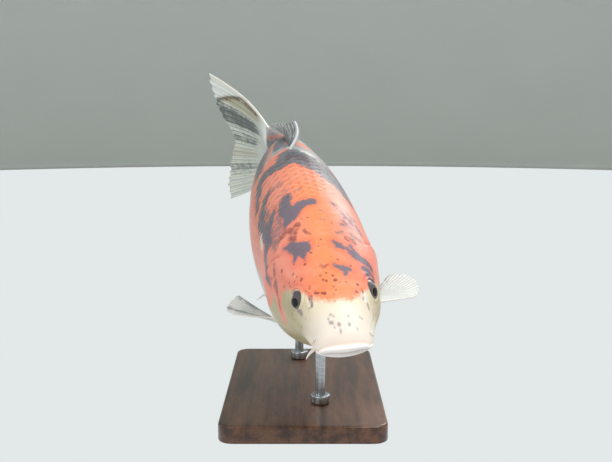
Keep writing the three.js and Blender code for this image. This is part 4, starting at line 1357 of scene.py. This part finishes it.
def fin_material(name, web, ray, root, stain, lead):
    """A wet fin: a thin clear web that lets light through between horny, paler rays."""
    material, add = new_material(name)
    place = add("place")
    out = add("attribute", attribute_name="out")
    ray_line = add("attribute", attribute_name="ray")
    olive = add("attribute", attribute_name="olive")
    mottle = add("noise", place, grain(5), 3)
    streak = add("noise", place, grain(1.4), 2)
    colour = add("blend", add("ramp", streak, 0.3, 0.75, 0.0, 0.4), web, ray)
    colour = add("blend", add("ramp", ray_line, 0.25, 0.95, 0.0, 0.75), colour, ray)
    colour = add("blend", add("ramp", out, 0.32, 0.0), colour, root)
    colour = add("blend", add("ramp", olive, 0.1, 1.0, 0.0, 0.6), colour, "#a1966f")
    pigment = add("blend", add("ramp", olive, 0.3, 1.0, 0.0, 0.75), stain, "#6f4b38")
    stained = add("add", add("attribute", attribute_name="stain"), add("subtract", mottle, 0.5))
    stained = add("subtract", stained, add("multiply", ray_line, 0.22))
    colour = add("blend", add("ramp", stained, 0.1, 0.85, 0.0, 0.9), colour, pigment)
    pale = add("add", add("attribute", attribute_name="pale"), add("multiply_add", mottle, 0.4, -0.2))
    colour = add("blend", add("ramp", pale, 0.1, 0.9, 0.0, 0.85), colour, "#eef3ee")
    leading = add("attribute", attribute_name="lead")
    colour = add("blend", add("ramp", leading, 0.3, 0.9, 0.0, 0.8), colour, lead)
    clear = add("multiply", add("ramp", out, 0.15, 0.95, 0.0, 0.36), add("ramp", ray_line, 0.8, 0.2))
    add("surface", add("shader", named_inputs={
        "Base Color": colour, "Roughness": 0.45, "IOR": 1.4, "Alpha": add("subtract", 1.0, clear),
        "Coat Weight": 0.15, "Coat Roughness": 0.25, "Coat IOR": 1.34,
    }))
    return material


# ---- barbels -------------------------------------------------------------------------------------

CORNER_BARBEL = dict(station=0.022, degrees=-12, length=10.5, radius=1.3)
BARBELS = {
    "barbel_corner_left": dict(CORNER_BARBEL, side=1, way=(0.3, -0.8, 0.4)),
    "barbel_corner_right": dict(CORNER_BARBEL, side=-1, way=(0.9, 0.2, 0.35)),
    "barbel_lip_left": dict(station=0.024, degrees=30, length=7, radius=0.8, side=1, way=(0.8, 0.2, 0.5)),
    "barbel_lip_right": dict(station=0.024, degrees=30, length=7, radius=0.8, side=-1, way=(0.8, 0.2, 0.5)),
}
BARBEL_TIP = 0.45
BARBEL_SIDES = 24
BARBEL_ROWS = 40


def build_barbel(name, form, material):
    """A tapering feeler with a blunt tip: a grid rolled into a tube along its bend."""
    barbel, column, row = grid(f"{name}_feeler", BARBEL_SIDES, BARBEL_ROWS)
    side = form["side"]
    length = form["length"]
    degrees = form["degrees"] if side > 0 else 180 - form["degrees"]
    root = body_point(form["station"], degrees, -1.5)
    sideways, ahead, down = form["way"]
    out = unit(np.array([sideways * side, -ahead, -down]))
    hang = unit(np.array([0, 0.35, -1.0]))
    bends = [root, root + out * length * 0.55, root + (out * 0.8 + hang * 0.45) * length]
    t = np.sin(math.pi / 2 * row / BARBEL_ROWS)
    weights = [(1 - t) ** 2, 2 * t * (1 - t), t ** 2]
    slopes = [2 * t - 2, 2 - 4 * t, 2 * t]
    centre = sum(weight[:, None] * point for weight, point in zip(weights, bends))
    forward = unit(sum(slope[:, None] * point for slope, point in zip(slopes, bends)))
    first = unit(np.cross(forward, [0.0, 1.0, 0.2]))
    second = np.cross(forward, first)
    radius = lerp(form["radius"] * 1.15, BARBEL_TIP, t ** 0.8) * np.sqrt(np.clip(1 - t ** 14, 0, 1))
    angle = 2 * math.pi * column / BARBEL_SIDES
    ring = first * np.cos(angle)[:, None] + second * np.sin(angle)[:, None]
    set_points(barbel, posed(centre + ring * radius[:, None]))
    set_attributes(barbel, {"out": t})
    close_up(barbel)
    return finish_piece(barbel, material, "skin_white", name)


def barbel_material():
    """Soft feeler skin, white at the root and pinker towards the tip."""
    material, add = new_material("feeler_skin")
    place = add("place")
    out = add("attribute", attribute_name="out")
    colour = add("blend", add("ramp", add("noise", place, grain(1.5), 3), 0.35, 0.7), "#f5efe4", "#e3d3c4")
    colour = add("blend", add("ramp", out, 0.4, 1.0, 0.0, 0.5), colour, "#dcb9ad")
    add("surface", add("shader", named_inputs={
        "Base Color": colour, "Roughness": 0.35, "Subsurface Weight": 0.25, "Subsurface Scale": 0.002,
        "Coat Weight": 0.3, "Coat Roughness": 0.12,
        "Normal": add("bump", add("noise", place, grain(0.6), 2), 0.08 * MM, 0.5),
    }))
    return material


# ---- stand ---------------------------------------------------------------------------------------

UNDERSIDE_BEVEL = 0.8 * MM
COLLAR_BEVEL = 1.0 * MM
ROD_IN_BELLY = 1.2 * MM
SAME_PLACE = 0.01 * MM


def wood_material(colours):
    """Oiled walnut: long figure with fine open pores under a satin finish."""
    material, add = new_material("oiled_walnut")
    stretched = add("mapping", add("place"), (1.0, 0.12, 1.0), (0.0, 0.0, 0.05))
    figure = add("noise", stretched, grain(9), 5, 0.6)
    pores = add("noise", stretched, grain(1.1), 3, 0.6)
    colour = add("blend", add("ramp", figure, 0.35, 0.68), colours.walnut, "#3b2418")
    colour = add("blend", add("ramp", pores, 0.5, 0.75, 0.0, 0.6), colour, "#2a1810")
    add("surface", add("shader", named_inputs={
        "Base Color": colour, "Roughness": 0.38, "IOR": 1.5, "Coat Weight": 0.25, "Coat Roughness": 0.2,
        "Normal": add("bump", pores, 0.06 * MM, 0.4),
    }))
    return material


def steel_material():
    """Turned stainless steel with fine rings left by the tool."""
    material, add = new_material("turned_steel")
    rings = add("noise", add("mapping", add("place"), (0.05, 0.05, 1.0)), grain(0.35), 2)
    colour = add("blend", add("ramp", rings, 0.3, 0.7), "#c6c9cc", "#a9adb2")
    add("surface", add("shader", named_inputs={
        "Base Color": colour, "Metallic": 1.0, "Roughness": 0.27,
        "Normal": add("bump", rings, 0.03 * MM, 0.4),
    }))
    return material


def edges_where(obj, test):
    """Selects, in edit mode, the edges whose two ends pass the test."""
    bpy.ops.object.mode_set(mode="EDIT")
    bpy.ops.mesh.select_mode(type="EDGE")
    bpy.ops.mesh.select_all(action="DESELECT")
    bpy.ops.object.mode_set(mode="OBJECT")
    points = obj.data.vertices
    for edge in obj.data.edges:
        edge.select = test(points[edge.vertices[0]].co, points[edge.vertices[1]].co)
    bpy.ops.object.mode_set(mode="EDIT")


def bevel_where(obj, test, width, segments):
    """Rounds the edges whose two ends pass the test."""
    edges_where(obj, test)
    bpy.ops.mesh.bevel(offset=width, segments=segments, affect="EDGES")
    bpy.ops.object.mode_set(mode="OBJECT")


def node_box(node, above=0.0):
    """The middle and the size of a node's box, raised at the top by so much."""
    low, high = (np.array(corner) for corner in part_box(node))
    high[2] += above
    return (low + high) / 2, high - low


def finish_stand_piece(obj, material, slot, node, sharpest):
    """Finishes a piece and keeps the edges sharp that turn by more than so many degrees."""
    finish_piece(obj, material, slot, node)
    bpy.ops.object.shade_smooth_by_angle(angle=math.radians(sharpest))


def build_base(material, settings):
    """The stand's board: a block with rounded corners and eased edges."""
    middle, size = node_box("stand_base")
    deselect()
    bpy.ops.mesh.primitive_cube_add(size=1, location=middle, scale=size)
    bpy.ops.object.transform_apply(location=True, rotation=False, scale=True)
    base = named("stand_base_board")
    top, bottom = middle[2] + size[2] / 2, middle[2] - size[2] / 2
    bevel_where(base, lambda a, b: abs(a.z - b.z) > size[2] / 2, settings.base_corner, 10)
    bevel_where(base, lambda a, b: min(a.z, b.z) > top - SAME_PLACE, settings.base_edge, 5)
    bevel_where(base, lambda a, b: max(a.z, b.z) < bottom + SAME_PLACE, UNDERSIDE_BEVEL, 2)
    finish_stand_piece(base, material, "stand_wood", "stand_base", 35)


def turned_cylinder(name, node, sides, above=0.0):
    """A cylinder that stands in the box of a node."""
    middle, size = node_box(node, above)
    deselect()
    bpy.ops.mesh.primitive_cylinder_add(vertices=sides, radius=size[0] / 2, depth=size[2], location=middle)
    bpy.ops.object.transform_apply(location=True, rotation=False, scale=False)
    return named(name)


def build_rod(label, material):
    """A rod that ends just inside the belly, and the collar round its foot."""
    rod = turned_cylinder(f"stand_post_{label}", f"stand_rod_{label}", 48, ROD_IN_BELLY)
    finish_stand_piece(rod, material, "stand_steel", f"stand_rod_{label}", 40)
    collar = turned_cylinder(f"stand_ring_{label}", f"stand_collar_{label}", 64)
    bevel_where(collar, lambda a, b: abs(a.z - b.z) < SAME_PLACE / 10, COLLAR_BEVEL, 4)
    finish_stand_piece(collar, material, "stand_steel", f"stand_collar_{label}", 40)


# ---- studio --------------------------------------------------------------------------------------

CAMERA_PLACE = (0.0023, -0.7594, 0.25375)
CAMERA_DOWN_DEG = 8.0
CAMERA_LENS = 52.94
SENSOR = 36.0
FLOOR_RADIUS = 3.0
# The floor curves up into a wall: the radius of the curve, its steps and the height above it.
COVE_RADIUS = 1.0
COVE_STEPS = 10
WALL_HEIGHT = 1.5
# Each light: its place, its turn in degrees, its size and its power in watts.
LIGHTS = {
    "key_light": ((0.55, -0.55, 1.35), (28, 22, 0), 1.1, 17.0),
    "fill_light": ((-0.9, -1.2, 0.9), (58, -30, -20), 1.2, 7.0),
    "rim_light": ((0.7, 1.1, 1.0), (-52, 28, 0), 0.9, 8.0),
    "side_light": ((-1.4, 0.25, 0.6), (75, 0, -100), 0.35, 2.0),
}


def floor_material():
    """Matt studio floor paint, pale and slightly uneven."""
    material, add = new_material("matt_floor_paint")
    colour = add("blend", add("noise", add("place"), grain(400), 3), "#d9dcd8", "#e2e4e0")
    add("surface", add("shader", named_inputs={"Base Color": colour, "Roughness": 0.7}))
    return material


def build_floor():
    """A round floor whose rim curves up into a wall."""
    deselect()
    bpy.ops.mesh.primitive_circle_add(vertices=128, radius=FLOOR_RADIUS, fill_type="NGON")
    floor = named("studio_floor")
    bpy.ops.object.mode_set(mode="EDIT")
    bpy.ops.mesh.select_all(action="SELECT")
    bpy.ops.mesh.inset(thickness=1.0 * MM)
    bpy.ops.object.mode_set(mode="OBJECT")
    rim = np.hypot(*points_of(floor)[:, :2].T) > FLOOR_RADIUS - 0.5 * MM
    for vertex, chosen in zip(floor.data.vertices, rim):
        vertex.select = bool(chosen)
    bpy.ops.object.mode_set(mode="EDIT")
    bpy.ops.mesh.select_mode(type="EDGE")
    angles = [math.pi / 2 * step / COVE_STEPS for step in range(COVE_STEPS + 1)]
    for low, high in zip(angles, angles[1:]):
        grow = (FLOOR_RADIUS + COVE_RADIUS * math.sin(high)) / (FLOOR_RADIUS + COVE_RADIUS * math.sin(low))
        rise = COVE_RADIUS * (math.cos(low) - math.cos(high))
        bpy.ops.mesh.extrude_region_move(TRANSFORM_OT_translate={"value": (0, 0, rise)})
        bpy.ops.transform.resize(value=(grow, grow, 1), center_override=(0, 0, 0))
    bpy.ops.mesh.extrude_region_move(TRANSFORM_OT_translate={"value": (0, 0, WALL_HEIGHT)})
    bpy.ops.object.mode_set(mode="OBJECT")
    bpy.ops.object.shade_smooth()
    floor.data.materials.append(floor_material())


def build_lights():
    """Four soft round lights and an even pale world."""
    for name, (place, turn, size, power) in LIGHTS.items():
        deselect()
        bpy.ops.object.light_add(type="AREA", location=place, rotation=[math.radians(a) for a in turn])
        light = bpy.context.object
        light.name = name
        light.data.shape = "DISK"
        light.data.size = size
        light.data.energy = power
    world = bpy.data.worlds.new("soft_studio_world")
    bpy.context.scene.world = world
    world.use_nodes = True
    background = world.node_tree.nodes["Background"]
    background.inputs["Color"].default_value = linear("#eef3f4")
    background.inputs["Strength"].default_value = 0.9


def build_camera():
    """The camera, above the floor and a little down on the fish."""
    deselect()
    bpy.ops.object.camera_add(location=CAMERA_PLACE, rotation=(math.radians(90 - CAMERA_DOWN_DEG), 0, 0))
    camera = bpy.context.object
    camera.name = "camera"
    camera.data.sensor_fit = "HORIZONTAL"
    camera.data.sensor_width = SENSOR
    camera.data.lens = CAMERA_LENS
    camera.data.clip_start = 10 * MM
    bpy.context.scene.camera = camera
    bpy.context.scene.view_settings.view_transform = "Standard"


# ---- the add-on ----------------------------------------------------------------------------------


def length_setting(name, description, default, least):
    """A size in metres."""
    return FloatProperty(
        name=name, description=description, default=default, min=least, unit="LENGTH", subtype="DISTANCE",
    )


def colour_setting(name, description, code):
    """A colour, from its sRGB hex."""
    return FloatVectorProperty(
        name=name, description=description, default=linear(code), size=4, min=0, max=1, subtype="COLOR",
    )


class KoiSettings(bpy.types.PropertyGroup):
    """Sizes and colours that a user would change."""

    scale_pitch: length_setting("Scale pitch", "From one scale to the next along the flank", 0.0082, 0.003)
    back_row: length_setting("Back row width", "Between rows of scales on the back", 0.0072, 0.003)
    side_row: length_setting("Side row width", "Between rows of scales on the flank", 0.0115, 0.003)
    scale_rise: length_setting("Scale rise", "From a scale's root up to its free rim", 0.0006, 0.0002)
    eye_radius: length_setting("Eye radius", "Radius of the eyeball", 0.009, 0.004)
    base_corner: length_setting("Base corner", "Radius of the stand base's corners", 0.012, 0.001)
    base_edge: length_setting("Base edge", "Rounding of the stand base's upper edge", 0.002, 0.0005)
    orange: colour_setting("Orange", "Orange of the middle of the back", "#f78f5e")
    flank_orange: colour_setting("Flank orange", "Orange of the flanks", "#ef7a62")
    black: colour_setting("Black", "Black marks near their edges, grey under the skin", "#696f76")
    deep_black: colour_setting("Deep black", "Middle of the broad black marks", "#3c4249")
    body_white: colour_setting("Body white", "White ground of the body", "#e2d9cf")
    snout_white: colour_setting("Snout white", "Skin of the snout", "#f5e7da")
    face_cream: colour_setting("Face cream", "Skin between the eyes", "#ecdec1")
    iris: colour_setting("Iris", "Ground colour of the iris", "#857a70")
    pale_fin_web: colour_setting("Pale fin web", "Web of the paired and anal fins", "#dfe4e4")
    smoky_fin_web: colour_setting("Smoky fin web", "Web of the dorsal fin", "#b9bdc0")
    smoky_tail_web: colour_setting("Smoky tail web", "Web of the tail fin", "#bcc4be")
    walnut: colour_setting("Walnut", "Lighter figure of the stand's wood", "#6b4630")


class KOI_OT_skin(bpy.types.Operator):
    """Build the naked skin from the lips to the tail stem"""

    bl_idname = "koi.skin"
    bl_label = "Skin"

    def execute(self, context):
        build_skin(context.scene.koi)
        return {"FINISHED"}


class KOI_OT_scales(bpy.types.Operator):
    """Lay the scales over the skin"""

    bl_idname = "koi.scales"
    bl_label = "Scales"

    def execute(self, context):
        settings = context.scene.koi
        places = scale_places(settings)
        random = np.random.default_rng(SCALE_SEED)
        material = skin_material("scaled_koi_skin", True, settings)
        for name, chosen in (("scales_left", places[:, 1] >= 0), ("scales_right", places[:, 1] < 0)):
            scales = build_scales(name, places[chosen], settings, random)
            finish_piece(scales, material, "skin_orange")
        return {"FINISHED"}


class KOI_OT_eyes(bpy.types.Operator):
    """Set both eyes in their sockets"""

    bl_idname = "koi.eyes"
    bl_label = "Eyes"

    def execute(self, context):
        settings = context.scene.koi
        material = eye_material(settings)
        for side, label in ((1, "left"), (-1, "right")):
            build_eye(side, label, material, settings.eye_radius / MM)
        return {"FINISHED"}


class KOI_OT_fins(bpy.types.Operator):
    """Build the dorsal, anal, tail, pectoral and pelvic fins"""

    bl_idname = "koi.fins"
    bl_label = "Fins"

    def execute(self, context):
        finishes = {}
        for name, colours in FIN_FINISHES.items():
            finishes[name] = fin_material(name, getattr(context.scene.koi, name), **colours)
        for name, (place, rays, finish, nodes, form) in FINS.items():
            build_fin(name, place, rays, form, finishes[finish], nodes)
        return {"FINISHED"}


class KOI_OT_barbels(bpy.types.Operator):
    """Build the four barbels"""

    bl_idname = "koi.barbels"
    bl_label = "Barbels"

    def execute(self, context):
        material = barbel_material()
        for name, form in BARBELS.items():
            build_barbel(name, form, material)
        return {"FINISHED"}


class KOI_OT_stand(bpy.types.Operator):
    """Build the display stand"""

    bl_idname = "koi.stand"
    bl_label = "Stand"

    def execute(self, context):
        settings = context.scene.koi
        steel = steel_material()
        build_base(wood_material(settings), settings)
        for label in ("front", "rear"):
            build_rod(label, steel)
        return {"FINISHED"}


class KOI_OT_studio(bpy.types.Operator):
    """Add the floor, the lights and the camera"""

    bl_idname = "koi.studio"
    bl_label = "Studio"

    def execute(self, context):
        build_floor()
        build_lights()
        build_camera()
        return {"FINISHED"}


STEPS = ("skin", "scales", "eyes", "fins", "barbels", "stand", "studio")


class KOI_PT_panel(bpy.types.Panel):
    """Lists the steps of the koi in the sidebar"""

    bl_label = "Koi Carp"
    bl_idname = "KOI_PT_panel"
    bl_space_type = "VIEW_3D"
    bl_region_type = "UI"
    bl_category = "Koi Carp"

    def draw(self, context):
        for name in KoiSettings.__annotations__:
            self.layout.prop(context.scene.koi, name)
        for step in STEPS:
            self.layout.operator(f"koi.{step}")


CLASSES = (
    KoiSettings, KOI_OT_skin, KOI_OT_scales, KOI_OT_eyes, KOI_OT_fins, KOI_OT_barbels, KOI_OT_stand,
    KOI_OT_studio, KOI_PT_panel,
)


def register():
    """Adds the settings, the operators and the panel."""
    for cls in CLASSES:
        bpy.utils.register_class(cls)
    bpy.types.Scene.koi = PointerProperty(type=KoiSettings)


def unregister():
    """Takes away what register added."""
    del bpy.types.Scene.koi
    for cls in reversed(CLASSES):
        bpy.utils.unregister_class(cls)


def main():
    """Builds every piece and the studio."""
    register()
    for step in STEPS:
        getattr(bpy.ops.koi, step)()


if __name__ == "__main__":
    main()
